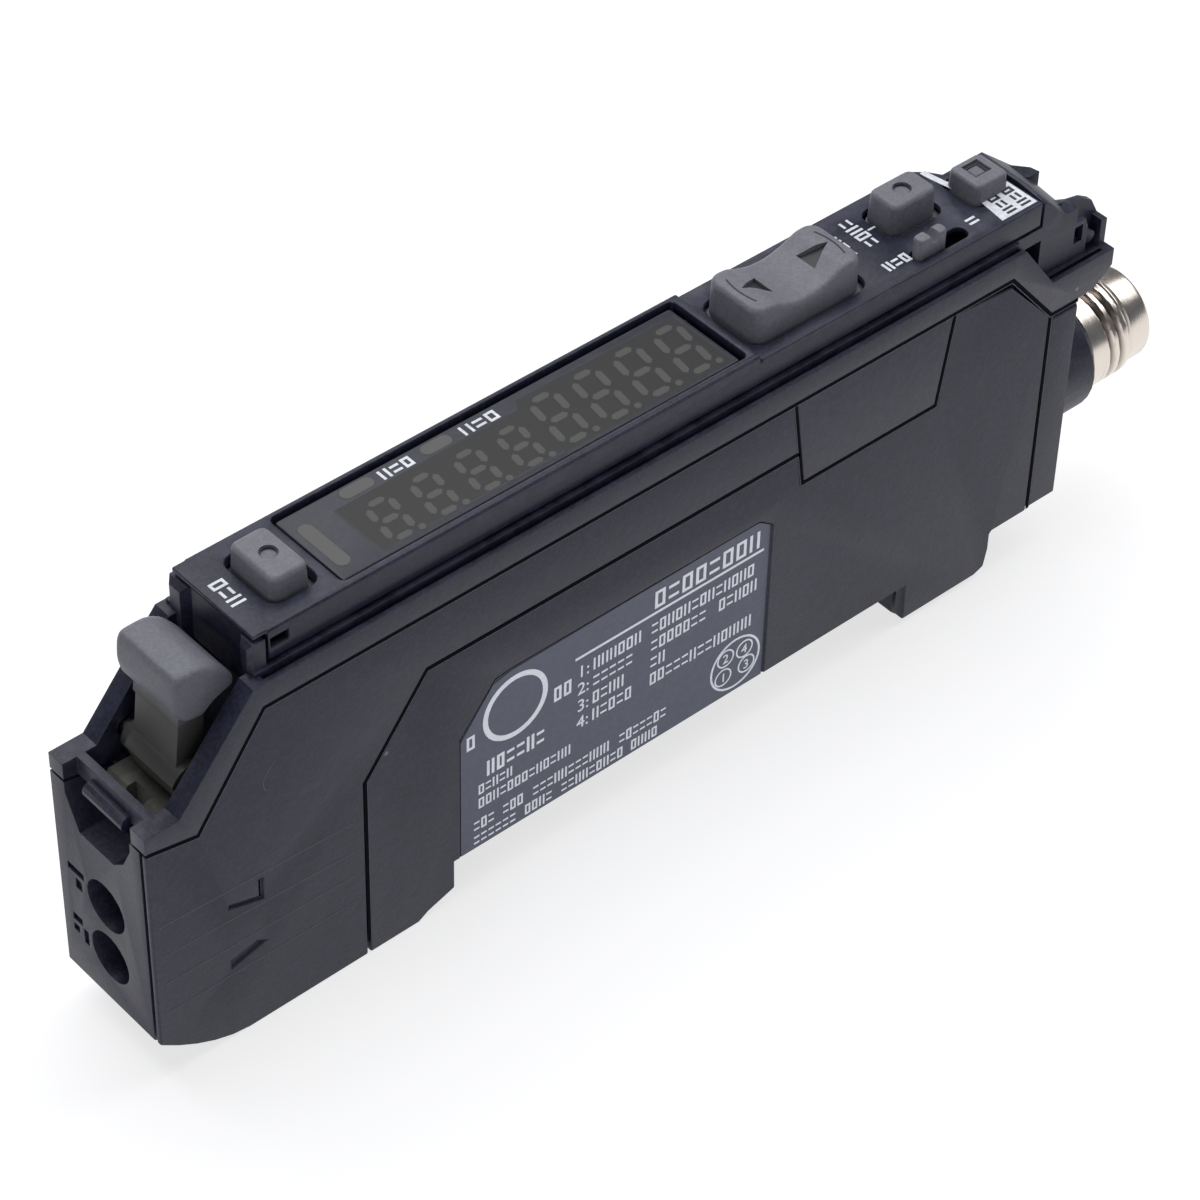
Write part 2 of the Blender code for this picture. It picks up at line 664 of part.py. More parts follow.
def top_frame():
    """The frame: two legs beside the lever, rim and gutters, front wall and rear hinge ears."""
    side = [*offset_up(joint_line(), SEAM), (SHOULDER_END - 1.7, 22.2), (SHOULDER_END, 23.5),
            (SHOULDER_END, SHOULDER_TOP), (SHOULDER_FRONT, SHOULDER_TOP), (RIM_REAR, RIM_TOP),
            (RIM_FRONT, RIM_TOP), (LEG_FLAT, LEG_FRONT_TOP), (0.0, LEG_FRONT_TOP)]
    frame = prism("top_frame", "Y", side, -HALF, HALF, "frame_plastic")

    lever_half = HALF - LEG
    gap = rectangle(-1, BLOCK_FRONT, NOSE_TOP - 3, PANEL_TOP + 5)
    carve(frame, prism("cut_lever_gap", "Y", gap, -lever_half, lever_half, "frame_plastic"))
    ledge = rectangle(-GUTTER_IN, LEDGE_FAR, GUTTER_FLOOR - 0.3, LEDGE_TOP)
    weld(frame, prism("add_ledge", "X", ledge, BLOCK_FRONT + 0.1, RIM_REAR, "frame_plastic"))
    ledge_end = rectangle(-BLOCK_NEAR, LEDGE_FAR, GUTTER_FLOOR - 0.3, LEDGE_TOP)
    weld(frame, prism("add_ledge_end", "X", ledge_end, RIM_REAR - 0.1, PANEL_REAR + 0.5, "frame_plastic"))
    front = BLOCK_FRONT
    back = BLOCK_FRONT + FRONT_WALL
    wall = [(front + 0.35, -BLOCK_NEAR), (back, -BLOCK_NEAR), (back, BLOCK_FAR),
            (front + 0.35, BLOCK_FAR), (front, BLOCK_FAR - 0.35), (front, -BLOCK_NEAR + 0.35)]
    wall_top = PANEL_TOP - LIP - SEAM
    weld(frame, prism("add_front_wall", "Z", wall, RIM_TOP - 1.5, wall_top, "frame_plastic"))
    slant = [(front - 1, wall_top - 1.0), (front, wall_top - 0.45), (LIP_FRONT - 0.1, wall_top),
             (front, PANEL_TOP), (front - 1, PANEL_TOP)]
    carve(frame, prism("cut_front_slant", "Y", slant, -HALF - 1, HALF + 1, "frame_plastic"))
    scoop = [(front - 1, -3.3), (front, -3.0), (front + 0.55, -2.5), (front + 0.55, 2.5),
             (front, 3.0), (front - 1, 3.3)]
    carve(frame, prism("cut_scoop", "Z", scoop, NOSE_TOP, PANEL_TOP - 0.5, "frame_plastic"))

    middle = rectangle(TAIL_END, SHOULDER_END + 2, 20.0, 33.0)
    carve(frame, prism("cut_ear_gap", "Y", middle, -EAR_INNER, EAR_INNER, "frame_plastic"))
    weld(frame, tail_block())
    add_ears(frame)
    gutter = rectangle(BLOCK_FRONT + 0.5, RIM_REAR - 0.15, GUTTER_FLOOR, RIM_TOP + 3)
    carve(frame, prism("cut_gutter", "Y", gutter, -GUTTER_OUT, -GUTTER_IN, "frame_plastic"))
    for label, sense in (("near", -1), ("far", 1)):
        low, high = sorted((sense * GUTTER_IN, sense * GUTTER_OUT))
        groove = rectangle(SHOULDER_FRONT + 0.2, SHOULDER_END - 0.8, SHOULDER_TOP - 0.5, SHOULDER_TOP + 2)
        carve(frame, prism(f"cut_groove_{label}", "Y", groove, low, high, "frame_plastic"))

    well_half = BOARD_HALF + FIT
    well = under_panel(back, PANEL_REAR - 0.3, 0.0)
    carve(frame, prism("cut_well", "Z", well, BOARD_LOW - FIT, PANEL_TOP + 2, "frame_plastic"))
    throat = rectangle(back + 1.0, SLOPE_BACK - 0.5, COLUMN_TOP, BOARD_LOW + 1)
    carve(frame, prism("cut_throat", "Y", throat, -well_half + 0.7, well_half - 0.7, "frame_plastic"))

    bar = rectangle(BAR_BACK, BAR_BACK + BAR_DEPTH, NOSE_TOP, LEG_FRONT_TOP)
    weld(frame, prism("add_cross_bar", "Y", bar, -lever_half - 0.3, lever_half + 0.3, "frame_plastic"))
    bead = circle(BAR_BACK - 0.2, NOSE_TOP + 0.1, BEAD_RADIUS, 12)
    weld(frame, prism("add_bead", "Y", bead, -2.0, 2.0, "frame_plastic"))
    pin_hole = circle(LEVER_BACK, LEVER_UP, PIN_RADIUS + FIT, 16)
    carve(frame, prism("cut_pin_seat", "Y", pin_hole, -lever_half - 0.6, lever_half + 0.6, "frame_plastic"))
    return frame


def button_hole(front, rear, low, high, corner):
    """The outline of the opening round a cap, with the wider gap at its rear end."""
    return rounded(front - FIT, rear + END_GAP, low - FIT, high + FIT, corner + FIT, 3)


def panel_cover():
    """The raised panel: a channel with a flat top, with openings for window, buttons and knob."""
    skirt_low = LEDGE_TOP + SEAM
    skin_low = PANEL_TOP - PANEL_SKIN
    near = -BLOCK_NEAR
    far = BLOCK_FAR
    edge = 0.15
    section = [(near, skirt_low), (near, PANEL_TOP - edge), (near + edge, PANEL_TOP), (far - edge, PANEL_TOP),
               (far, PANEL_TOP - edge), (far, skirt_low), (far - PANEL_SKIRT, skirt_low),
               (far - PANEL_SKIRT, skin_low), (near + PANEL_SKIRT, skin_low), (near + PANEL_SKIRT, skirt_low)]
    front = BLOCK_FRONT + FRONT_WALL + SEAM
    panel = prism("panel_cover", "X", section, front, PANEL_REAR, "frame_plastic")
    lip = [(near + edge, PANEL_TOP - LIP), (near + edge, PANEL_TOP), (far - edge, PANEL_TOP),
           (far - edge, PANEL_TOP - LIP)]
    weld(panel, prism("add_lip", "X", lip, LIP_FRONT, front + 0.2, "frame_plastic"))
    openings = {
        "window": rounded(WINDOW_FRONT - FIT, WINDOW_REAR + END_GAP,
                          WINDOW_NEAR - FIT, WINDOW_FAR + FIT, 0.35, 3),
        "set": button_hole(SET_FRONT, SET_REAR, SET_ACROSS - SET_HALF, SET_ACROSS + SET_HALF, 0.6),
        "rocker": button_hole(ROCKER_FRONT, ROCKER_REAR, -ROCKER_HALF, ROCKER_HALF, 0.9),
        "mode": button_hole(MODE_FRONT, MODE_REAR, MODE_ACROSS - MODE_HALF, MODE_ACROSS + MODE_HALF, 0.6),
        "preset": rounded(PRESET_FRONT - FIT, PRESET_REAR + FIT, PRESET_ACROSS - PRESET_HALF - FIT,
                          PRESET_ACROSS + PRESET_HALF + FIT, 0.75, 3),
        "slot": rounded(SLOT_FRONT, SLOT_REAR, SLOT_ACROSS - SLOT_HALF, SLOT_ACROSS + SLOT_HALF, 0.5, 3),
    }
    for label, outline in openings.items():
        hole = prism(f"cut_panel_{label}", "Z", outline, skin_low - 1, PANEL_TOP + 1, "frame_plastic")
        carve(panel, hole)
    step = [(REAR_FRONT, PANEL_TOP + 1), (REAR_FRONT, REAR_TOP - 0.2), (REAR_FRONT + 0.15, REAR_TOP - 0.2),
            (REAR_FRONT + 0.15, REAR_TOP), (PANEL_REAR + 1, REAR_TOP), (PANEL_REAR + 1, PANEL_TOP + 1)]
    carve(panel, prism("cut_rear_step", "Y", step, -HALF - 1, HALF + 1, "frame_plastic"))
    rim = [(71.5, far), (72.0, far), (72.9, 3.65), (73.5, TAIL_FAR + 0.1), (74.0, TAIL_FAR),
           (PANEL_REAR, TAIL_FAR)]
    back = [(PANEL_REAR, TAIL_FAR - CORNER_WALL), (73.8, TAIL_FAR - CORNER_WALL), (73.2, TAIL_FAR - 0.2),
            (71.8, far - 0.4), (71.5, far - 0.4)]
    weld(panel, prism("add_corner_wall", "Z", [*rim, *back], skirt_low, REAR_TOP - 0.1, "frame_plastic"))
    beyond = [*rim[1:], (PANEL_REAR + 1, TAIL_FAR), (PANEL_REAR + 1, HALF), (72.0, HALF)]
    carve(panel, prism("cut_far_corner", "Z", beyond, skirt_low - 1, PANEL_TOP + 1, "frame_plastic"))
    slot = rectangle(front + 0.15, front + 1.55, LEDGE_TOP + 1.15, LEDGE_TOP + 1.85)
    carve(panel, prism("cut_snap_slot", "Y", slot, near - 1, near + PANEL_SKIRT + 0.2, "frame_plastic"))
    return panel


def display_window():
    """The smoked window that sits just below the panel's top face."""
    outline = rounded(WINDOW_FRONT, WINDOW_REAR, WINDOW_NEAR, WINDOW_FAR, 0.2, 2)
    return cushion("display_window", outline, WINDOW_TOP - WINDOW_THICK, WINDOW_TOP, 0.08, "window_smoke", 1)


def display_module():
    """The digit block under the window, with a step along each side."""
    low = BOARD_LOW + BOARD_THICK + FIT
    high = WINDOW_TOP - WINDOW_THICK - FIT
    step = low + MODULE_STEP
    top = MODULE_HALF - MODULE_REBATE
    section = [(-MODULE_HALF, low), (MODULE_HALF, low), (MODULE_HALF, step), (top, step), (top, high),
               (-top, high), (-top, step), (-MODULE_HALF, step)]
    return prism("display_module", "X", section, WINDOW_FRONT + 0.3, WINDOW_REAR - 0.3, "switch_black")


def well_far(back):
    """How far across the space under the panel reaches at a distance back from the fibre face."""
    return BOARD_HALF + FIT if back < CORNER_FRONT else TAIL_FAR - CORNER_WALL


def button(name, front, rear, across, half, top, corner, dimple):
    """A push button: cap, wider flange under the panel and a stem down to its switch."""
    low = FLANGE_LOW
    outline = rounded(front, rear, across - half, across + half, corner, 3)
    cap = cushion(name, outline, low + 0.02, top, 0.3, "button_grey")
    flange_rear = min(rear + END_FLANGE, PANEL_REAR - 0.1)
    flange_far = min(across + half + BUTTON_FLANGE, well_far(flange_rear) - FIT)
    flange_near = max(across - half - BUTTON_FLANGE, -BOARD_HALF)
    flange = rectangle(front - BUTTON_FLANGE, flange_rear, flange_near, flange_far)
    weld(cap, prism(f"add_flange_{name}", "Z", flange, low, low + FLANGE_THICK, "button_grey"))
    carve(cap, prism(f"cut_dimple_{name}", "Z", dimple, top - DIMPLE_DEPTH, top + 1, "button_grey"))
    joint_at(cap, (front + rear) / 2, across, low)
    return cap


def push_buttons():
    """The set, mode and preset buttons."""
    middle = (SET_FRONT + SET_REAR) / 2
    button("set_button", SET_FRONT, SET_REAR, SET_ACROSS, SET_HALF, SET_TOP, 0.6,
           circle(middle, SET_ACROSS, DIMPLE_RADIUS, 16))
    middle = (MODE_FRONT + MODE_REAR) / 2
    button("mode_button", MODE_FRONT, MODE_REAR, MODE_ACROSS, MODE_HALF, MODE_TOP, 0.6,
           circle(middle, MODE_ACROSS, DIMPLE_RADIUS, 16))
    middle = (PRESET_FRONT + PRESET_REAR) / 2
    pit = rounded(middle - 0.75, middle + 0.75, PRESET_ACROSS - 0.5, PRESET_ACROSS + 0.95, 0.15, 2)
    button("preset_button", PRESET_FRONT, PRESET_REAR, PRESET_ACROSS, PRESET_HALF, PRESET_TOP, 0.5, pit)


def rocker_button():
    """The long rocker: two raised ends with a saddle between, a flange and two switch stems."""
    low = FLANGE_LOW
    middle = (ROCKER_FRONT + ROCKER_REAR) / 2
    reach = (ROCKER_REAR - ROCKER_FRONT) / 2
    outline = rounded(ROCKER_FRONT, ROCKER_REAR, -ROCKER_HALF, ROCKER_HALF, 0.9, 4)
    rocker = cushion("rocker_button", outline, low + 0.02, ROCKER_TOP, 0.45, "button_grey", 3)
    sag = ROCKER_TOP - ROCKER_SADDLE
    span = reach * 0.62
    radius = (span ** 2 + sag ** 2) / (2 * sag)
    start = math.degrees(math.asin(span / radius))
    scoop = arc(middle, ROCKER_SADDLE + radius, radius, 270 - start * 1.12, 270 + start * 1.12, 12)
    carve(rocker, prism("cut_saddle", "Y", scoop, -HALF, HALF, "button_grey"))
    flange_half = min(ROCKER_HALF + BUTTON_FLANGE, BOARD_HALF)
    flange = rectangle(ROCKER_FRONT - BUTTON_FLANGE, ROCKER_REAR + END_FLANGE, -flange_half, flange_half)
    weld(rocker, prism("add_rocker_flange", "Z", flange, low, low + FLANGE_THICK, "button_grey"))
    rib = circle(middle, low, RIB_RADIUS, 16)
    weld(rocker, prism("add_rocker_rib", "Y", rib, -RIB_HALF, RIB_HALF, "button_grey"))
    joint_at(rocker, middle, 0.0, low)
    return rocker


def select_slider():
    """The two-lobed selector knob with the plate that slides under the panel."""
    front = SLOT_FRONT + FIT
    low = FLANGE_LOW
    half = SLOT_HALF - 0.12
    outline = rounded(front, front + KNOB_LENGTH, SLOT_ACROSS - half, SLOT_ACROSS + half, 0.35, 3)
    knob = cushion("select_slider", outline, low + 0.02, KNOB_TOP, 0.25, "button_grey")
    middle = front + KNOB_LENGTH / 2
    valley_low = PANEL_TOP + 0.45
    valley = [(middle - 0.28, KNOB_TOP + 1), (middle - 0.12, valley_low), (middle + 0.12, valley_low),
              (middle + 0.28, KNOB_TOP + 1)]
    carve(knob, prism("cut_knob_valley", "Y", valley, -HALF, HALF, "button_grey"))
    plate = rectangle(front - 0.25, front + KNOB_LENGTH + 0.3, -BOARD_HALF, SLOT_ACROSS + 0.9)
    weld(knob, prism("add_slider_plate", "Z", plate, low, low + FLANGE_THICK, "button_grey"))
    joint_at(knob, middle, SLOT_ACROSS, low)
    return knob


def under_panel(front, rear, inset):
    """The outline of the space under the panel, with its far rear corner cut, set in by a margin."""
    near = BOARD_HALF + FIT - inset
    far = TAIL_FAR - CORNER_WALL - inset
    return [(front, -near), (rear, -near), (rear, far), (CORNER_FRONT + 1.9, far), (CORNER_FRONT, near),
            (front, near)]


def front_board():
    """The narrow board that carries the switches and the display."""
    outline = under_panel(BLOCK_FRONT + FRONT_WALL + FIT, PANEL_REAR - 0.6, FIT)
    board = prism("front_board", "Z", outline, BOARD_LOW, BOARD_LOW + BOARD_THICK, "board_green")
    middle = (ROCKER_FRONT + ROCKER_REAR) / 2
    post = rectangle(middle - 0.5, middle + 0.5, -RIB_HALF, RIB_HALF)
    top = FLANGE_LOW - RIB_RADIUS - PRESS_REST
    weld(board, prism("add_rocker_post", "Z", post, BOARD_LOW + 0.1, top, "board_green"))
    return board


def tact_switch(name, x, across):
    """A low push switch: square body with a round plunger."""
    low = BOARD_LOW + BOARD_THICK + FIT
    half = min(SWITCH_HALF, BOARD_HALF - abs(across))
    body = rectangle(x - SWITCH_HALF, x + SWITCH_HALF, across - half, across + half)
    switch = prism(name, "Z", body, low, low + SWITCH_HEIGHT, "switch_black")
    knob = circle(x, across, PLUNGER_RADIUS, 12)
    top = low + SWITCH_HEIGHT
    weld(switch, prism(f"add_plunger_{name}", "Z", knob, top - 0.2, PLUNGER_TOP, "switch_black"))
    return switch


def switches():
    """Five push switches and the sliding selector switch."""
    tact_switch("set_switch", (SET_FRONT + SET_REAR) / 2, 0.0)
    middle = (ROCKER_FRONT + ROCKER_REAR) / 2
    tact_switch("down_switch", middle - ROCKER_STEM, 0.0)
    tact_switch("up_switch", middle + ROCKER_STEM, 0.0)
    tact_switch("mode_switch", (MODE_FRONT + MODE_REAR) / 2, MODE_ACROSS)
    tact_switch("preset_switch", (PRESET_FRONT + PRESET_REAR) / 2, PRESET_ACROSS)
    low = BOARD_LOW + BOARD_THICK + FIT
    body = rectangle(SLOT_FRONT - 0.4, SLOT_REAR + 0.2, -BOARD_HALF, SLOT_ACROSS + 1.1)
    prism("slide_switch", "Z", body, low, low + SWITCH_HEIGHT, "switch_black")


def fibre_lever():
    """The lever: shield-shaped thumb pad, neck and a barrel with a cam flat round the pin."""
    pad = [(4.75, 27.5), (4.25, 28.2), (4.05, 29.2), (4.15, 30.6), (4.45, PAD_TOP), (6.3, PAD_TOP),
           (7.3, 30.6), (8.45, 29.1), (8.45, 28.6), (7.9, 28.45), (6.8, 28.0), (6.0, 27.3)]
    shape = bmesh.new()
    add_prism(shape, "Y", pad, PAD_NEAR, PAD_FAR)
    bmesh.ops.recalc_face_normals(shape, faces=shape.faces)
    rims = [e for e in shape.edges if abs(e.verts[0].co.y - e.verts[1].co.y) < 1e-6]
    bmesh.ops.bevel(shape, geom=rims, offset=0.3 * MM, segments=2, profile=0.5, affect="EDGES")
    lever = make_object("fibre_lever", shape, "button_grey")
    neck_low = LEVER_UP + 0.6
    neck = [(LEVER_BACK - 0.9, neck_low), (LEVER_BACK + 1.3, neck_low), (6.5, NECK_TOP), (4.7, NECK_TOP)]
    weld(lever, prism("add_neck", "Y", neck, NECK_NEAR, BARREL_FAR - 0.05, "button_grey"))
    flat = 180 + 90 - OPEN_ANGLE
    reach = math.degrees(math.acos(CAM_FLAT / BARREL_RADIUS))
    barrel = arc(LEVER_BACK, LEVER_UP, BARREL_RADIUS, flat + reach, flat + 360 - reach, 24)
    weld(lever, prism("add_barrel", "Y", barrel, BARREL_NEAR, BARREL_FAR, "button_grey"))
    journal = circle(LEVER_BACK, LEVER_UP, JOURNAL_RADIUS, 20)
    weld(lever, prism("add_journal", "Y", journal, BARREL_FAR - 0.1, JOURNAL_FAR, "button_grey"))
    bore = circle(LEVER_BACK, LEVER_UP, PIN_BORE, 20)
    carve(lever, prism("cut_lever_bore", "Y", bore, -HALF, HALF, "button_grey"))
    for item in (lever, bpy.data.objects["add_barrel"]):
        smooth(item, 40.0)
    joint_at(lever, LEVER_BACK, 0.0, LEVER_UP)
    return lever


def lever_pin():
    """The steel pin across the two legs."""
    reach = HALF - LEG + 0.35
    pin = prism("lever_pin", "Y", circle(LEVER_BACK, LEVER_UP, PIN_RADIUS, 16), -reach, reach, "steel")
    smooth(pin)
    return pin


def fibre_clamp():
    """The sliding clamp block with one hole for each fibre, and the spring below it."""
    top = LEVER_UP - BARREL_RADIUS - FIT
    front = SHAFT_FRONT + FIT
    rear = SHAFT_REAR - FIT
    side = [(front, CLAMP_LOW), (rear, CLAMP_LOW), (rear, 16.0), (rear - 0.6, top - 1.2), (rear - 0.6, top),
            (front + 0.4, top), (front, top - 0.5)]
    half = SHAFT_HALF - FIT
    clamp = prism("fibre_clamp", "Y", side, -half, half, "clamp_cream")
    for label, up in (("upper", FIBRE_UPPER), ("lower", FIBRE_LOWER)):
        hole = circle(0.0, up, FIBRE_RADIUS + 0.25, 16)
        carve(clamp, prism(f"cut_clamp_{label}", "X", hole, front - 1, rear + 1, "clamp_cream"))
    step = rectangle(front - 1, front + 1.0, top - 1.5, top + 1)
    carve(clamp, prism("cut_clamp_step", "Y", step, -0.9, 0.9, "clamp_cream"))
    middle = (SHAFT_FRONT + SHAFT_REAR) / 2
    start = place(middle, 0.0, SHAFT_FLOOR + 0.35)
    coil("clamp_spring", start, "Z", 1.3, 0.15, 0.42, 2.5, "steel")
    joint_at(clamp, middle, 0.0, CLAMP_LOW)
    return clamp


def optics():
    """The holder behind the fibre bores with the emitter and the receiver in it."""
    near = -HALF + COVER + SEAM + 0.5
    body = rectangle(HOLDER_FRONT, HOLDER_REAR, RAIL_CEILING + WALL + FIT, FIBRE_UPPER + 2.6)
    holder = prism("optics_holder", "Y", body, near, HALF - WALL - FIT, "insert_black")
    for label, up in (("emitter", FIBRE_LOWER), ("receiver", FIBRE_UPPER)):
        seat = circle(0.0, up, ELEMENT_RADIUS + FIT, 20)
        seat = prism(f"cut_seat_{label}", "X", seat, HOLDER_FRONT + 0.5, HOLDER_REAR + 1, "insert_black")
        carve(holder, seat)
        view = circle(0.0, up, FIBRE_RADIUS, 16)
        carve(holder, prism(f"cut_view_{label}", "X", view, HOLDER_FRONT - 1, HOLDER_REAR, "insert_black"))
        front = HOLDER_FRONT + 0.5 + FIT
        dome = arc(front + ELEMENT_RADIUS * 0.7, 0.0, ELEMENT_RADIUS * 0.7, 180, 100, 4)
        profile = [*dome, (front + 1.2, ELEMENT_RADIUS), (HOLDER_REAR - 0.1, ELEMENT_RADIUS),
                   (HOLDER_REAR - 0.1, 0.0)]
        turned(f"{label}_element", profile, up, "lens_clear", 20)


def main_board():
    """The upright board with two chips and a coil pack fused to it."""
    side = [(BOARD_FRONT, MAIN_LOW), (BOARD_REAR, MAIN_LOW), (BOARD_REAR, COLUMN_TOP - 2.4),
            (SLOPE_BACK - 1.6, MAIN_TOP), (BOARD_FRONT, MAIN_TOP)]
    near = MAIN_ACROSS
    board = prism("main_board", "Y", side, near, near + MAIN_THICK, "board_green")
    for label, x, z, length, height, depth in (("logic", 32.0, 13.5, 7.0, 7.0, 1.1),
                                               ("driver", 58.0, 11.0, 5.0, 4.0, 1.5),
                                               ("filter", 68.0, 7.0, 4.0, 4.0, 2.2)):
        body = rectangle(x, x + length, z, z + height)
        weld(board, prism(f"add_chip_{label}", "Y", body, near - depth, near + 0.2, "switch_black"))
    header = rectangle(34.0, 44.0, MAIN_TOP + FIT, BOARD_LOW - FIT)
    prism("board_header", "Y", header, near - 0.8, near + MAIN_THICK + 0.8, "insert_black")
    middle = (HATCH_LOW_FRONT + HATCH_LOW_REAR) / 2
    body = rectangle(middle - 3.6, middle + 3.6, HATCH_LOW + 1.0, HATCH_LOW + 5.0)
    back = near - FIT
    plug = prism("expansion_connector", "Y", body, -HALF + WALL + FIT, back, "insert_black")
    cavity = rectangle(middle - 3.1, middle + 3.1, HATCH_LOW + 1.5, HATCH_LOW + 4.5)
    carve(plug, prism("cut_expansion", "Y", cavity, -HALF, back - 0.8, "insert_black"))


def rail_claw():
    """The sprung claw that slides out of the front foot to grip the rail, and its spring."""
    head_top = RAIL_CEILING - RUN
    tip = CLAW_FACE + CLAW_LIP
    side = [(CLAW_BACK, CLAW_LOW), (tip - 0.5, CLAW_LOW), (tip, CLAW_LOW + 0.5), (tip, CLAW_LIP_TOP - 0.2),
            (tip - 0.2, CLAW_LIP_TOP), (CLAW_FACE, CLAW_LIP_TOP), (CLAW_FACE, head_top),
            (CLAW_HEAD, head_top),
            (CLAW_HEAD, CLAW_SHANK_TOP), (CLAW_BACK, CLAW_SHANK_TOP)]
    claw = prism("rail_claw", "Y", side, -CLAW_HALF, CLAW_HALF, "insert_black")
    notch = rectangle(CLAW_FACE - 1.6, CLAW_FACE - 0.4, CLAW_LOW - 1, CLAW_LOW + 0.6)
    carve(claw, prism("cut_claw_tool_notch", "Y", notch, -0.8, 0.8, "insert_black"))
    middle_up = (CLAW_LOW + CLAW_SHANK_TOP) / 2
    start = place(CLAW_POCKET + 0.35, 0.0, middle_up)
    coil("claw_spring", start, "X", 0.65, 0.13, 0.95, 3, "steel")
    joint_at(claw, CLAW_BACK, 0.0, middle_up)
    return claw


def plug_connector():
    """The nickel sleeve with thread ridges and snap groove, its insert and four contacts."""
    start = BOSS_END + FIT
    profile = [(STEM_FRONT, STEM_RADIUS - 0.5), (STEM_FRONT, STEM_RADIUS), (start, STEM_RADIUS),
               (start, THREAD_RADIUS - 0.15), (start + 0.15, THREAD_RADIUS)]
    for valley in THREAD_VALLEYS:
        profile += [(valley - VALLEY_HALF, THREAD_RADIUS), (valley - 0.03, THREAD_ROOT),
                    (valley + 0.03, THREAD_ROOT), (valley + VALLEY_HALF, THREAD_RADIUS)]
    profile += [(THREAD_END, THREAD_RADIUS), (THREAD_END + 0.1, RING_NECK), (RING_FRONT - 0.1, RING_NECK),
                (RING_FRONT, RING_RADIUS), (OVERALL - 0.2, RING_RADIUS), (OVERALL, RING_RADIUS - 0.2),
                (OVERALL, SOCKET_RADIUS + 0.15), (OVERALL - 0.15, SOCKET_RADIUS),
                (SOCKET_FLOOR, SOCKET_RADIUS), (SOCKET_FLOOR, STEM_RADIUS - 0.5)]
    sleeve = turned("plug_sleeve", profile, PLUG_UP, "nickel", 40)
    insert_radius = STEM_RADIUS - 0.5 - FIT
    face = SOCKET_FLOOR - FIT
    insert = prism("plug_insert", "X", circle(0.0, PLUG_UP, insert_radius, 24), STEM_FRONT + FIT, face,
                   "insert_black")
    smooth(insert)
    for number in range(4):
        angle = math.radians(45 + 90 * number)
        across = CONTACT_CIRCLE * math.cos(angle)
        up = PLUG_UP + CONTACT_CIRCLE * math.sin(angle)
        hole = circle(across, up, CONTACT_RADIUS + 0.15, 12)
        way = prism(f"cut_contact_{number + 1}", "X", hole, STEM_FRONT - 1, CONTACT_END, "insert_black")
        carve(insert, way)
        pin = prism(f"contact_pin_{number + 1}", "X", circle(across, up, CONTACT_RADIUS, 12),
                    STEM_FRONT - 0.8, CONTACT_END, "gold")
        smooth(pin)
    return sleeve


def build():
    """Make every piece."""
    clear_scene()
    main_case()
    nose_cover()
    side_plate()
    expansion_cover()
    rear_case()
    top_frame()
    panel_cover()
    display_window()
    display_module()
    push_buttons()
    rocker_button()
    select_slider()
    front_board()
    switches()
    fibre_lever()
    lever_pin()
    fibre_clamp()
    optics()
    main_board()
    rail_claw()
    plug_connector()


build()
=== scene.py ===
# %% [markdown]
# # A fibre optic sensor amplifier
#
# The real object is a slim plastic module that clips onto a metal rail. Two light fibres go in at
# the nose, a lever locks them, and the top carries a small display, push buttons, a rocker and a
# selector. This lesson starts from the solid model of all its parts and gives it the soft edges,
# the moulded surfaces, the print and the metal that make it look real.

# %% Start from the solid model
import json
import math

import bmesh
import bpy
import numpy as np
from mathutils import Matrix, Vector


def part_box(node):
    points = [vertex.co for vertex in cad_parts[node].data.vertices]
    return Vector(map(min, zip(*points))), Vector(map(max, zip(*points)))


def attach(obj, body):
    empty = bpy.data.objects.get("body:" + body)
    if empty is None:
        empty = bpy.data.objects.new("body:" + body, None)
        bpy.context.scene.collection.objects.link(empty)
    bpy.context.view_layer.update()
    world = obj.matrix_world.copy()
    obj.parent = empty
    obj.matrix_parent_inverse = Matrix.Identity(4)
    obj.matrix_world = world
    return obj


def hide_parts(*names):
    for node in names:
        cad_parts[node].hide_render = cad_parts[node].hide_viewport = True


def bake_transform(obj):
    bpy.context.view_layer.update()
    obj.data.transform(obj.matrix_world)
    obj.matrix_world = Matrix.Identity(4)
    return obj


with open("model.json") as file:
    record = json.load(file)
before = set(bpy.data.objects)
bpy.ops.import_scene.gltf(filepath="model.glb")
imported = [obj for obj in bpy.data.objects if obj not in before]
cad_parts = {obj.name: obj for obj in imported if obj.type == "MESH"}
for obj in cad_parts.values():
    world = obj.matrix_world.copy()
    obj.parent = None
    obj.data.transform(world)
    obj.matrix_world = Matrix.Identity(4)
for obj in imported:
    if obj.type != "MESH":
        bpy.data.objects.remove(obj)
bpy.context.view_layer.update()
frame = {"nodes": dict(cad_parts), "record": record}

nodes = frame["nodes"]
bodies = frame["record"]["behaviour"]["bodies"]
body_of_node = {node: body for body, names in bodies.items() for node in names}
print(len(nodes), "solid pieces")

# %% [markdown]
# Every length below is in millimetres, as on a drawing: back from the fibre face, across from the
# middle, and up from the feet. One function turns such a point into metres in the model's frame.

# %% Millimetres to metres
OVERALL = 90.5
MM = 0.001


def place(points):
    """Rows of (back, across, up) in millimetres as metres: half the length is taken off back, then scaled."""
    points = np.asarray(points, float)
    return (points - np.array([OVERALL / 2, 0.0, 0.0])) * MM


def add_object(name, data):
    """A new object in the scene, for a mesh, a lamp, a camera or a text."""
    item = bpy.data.objects.new(name, data)
    bpy.context.scene.collection.objects.link(item)
    return item


print("fibre face at", place([0, 0, 0]))

# %% [markdown]
# ## Camera
#
# The camera looks at the nose from the near side and from above, with a long lens as a product
# photographer uses, so that the far end looks only a little smaller than the near end.

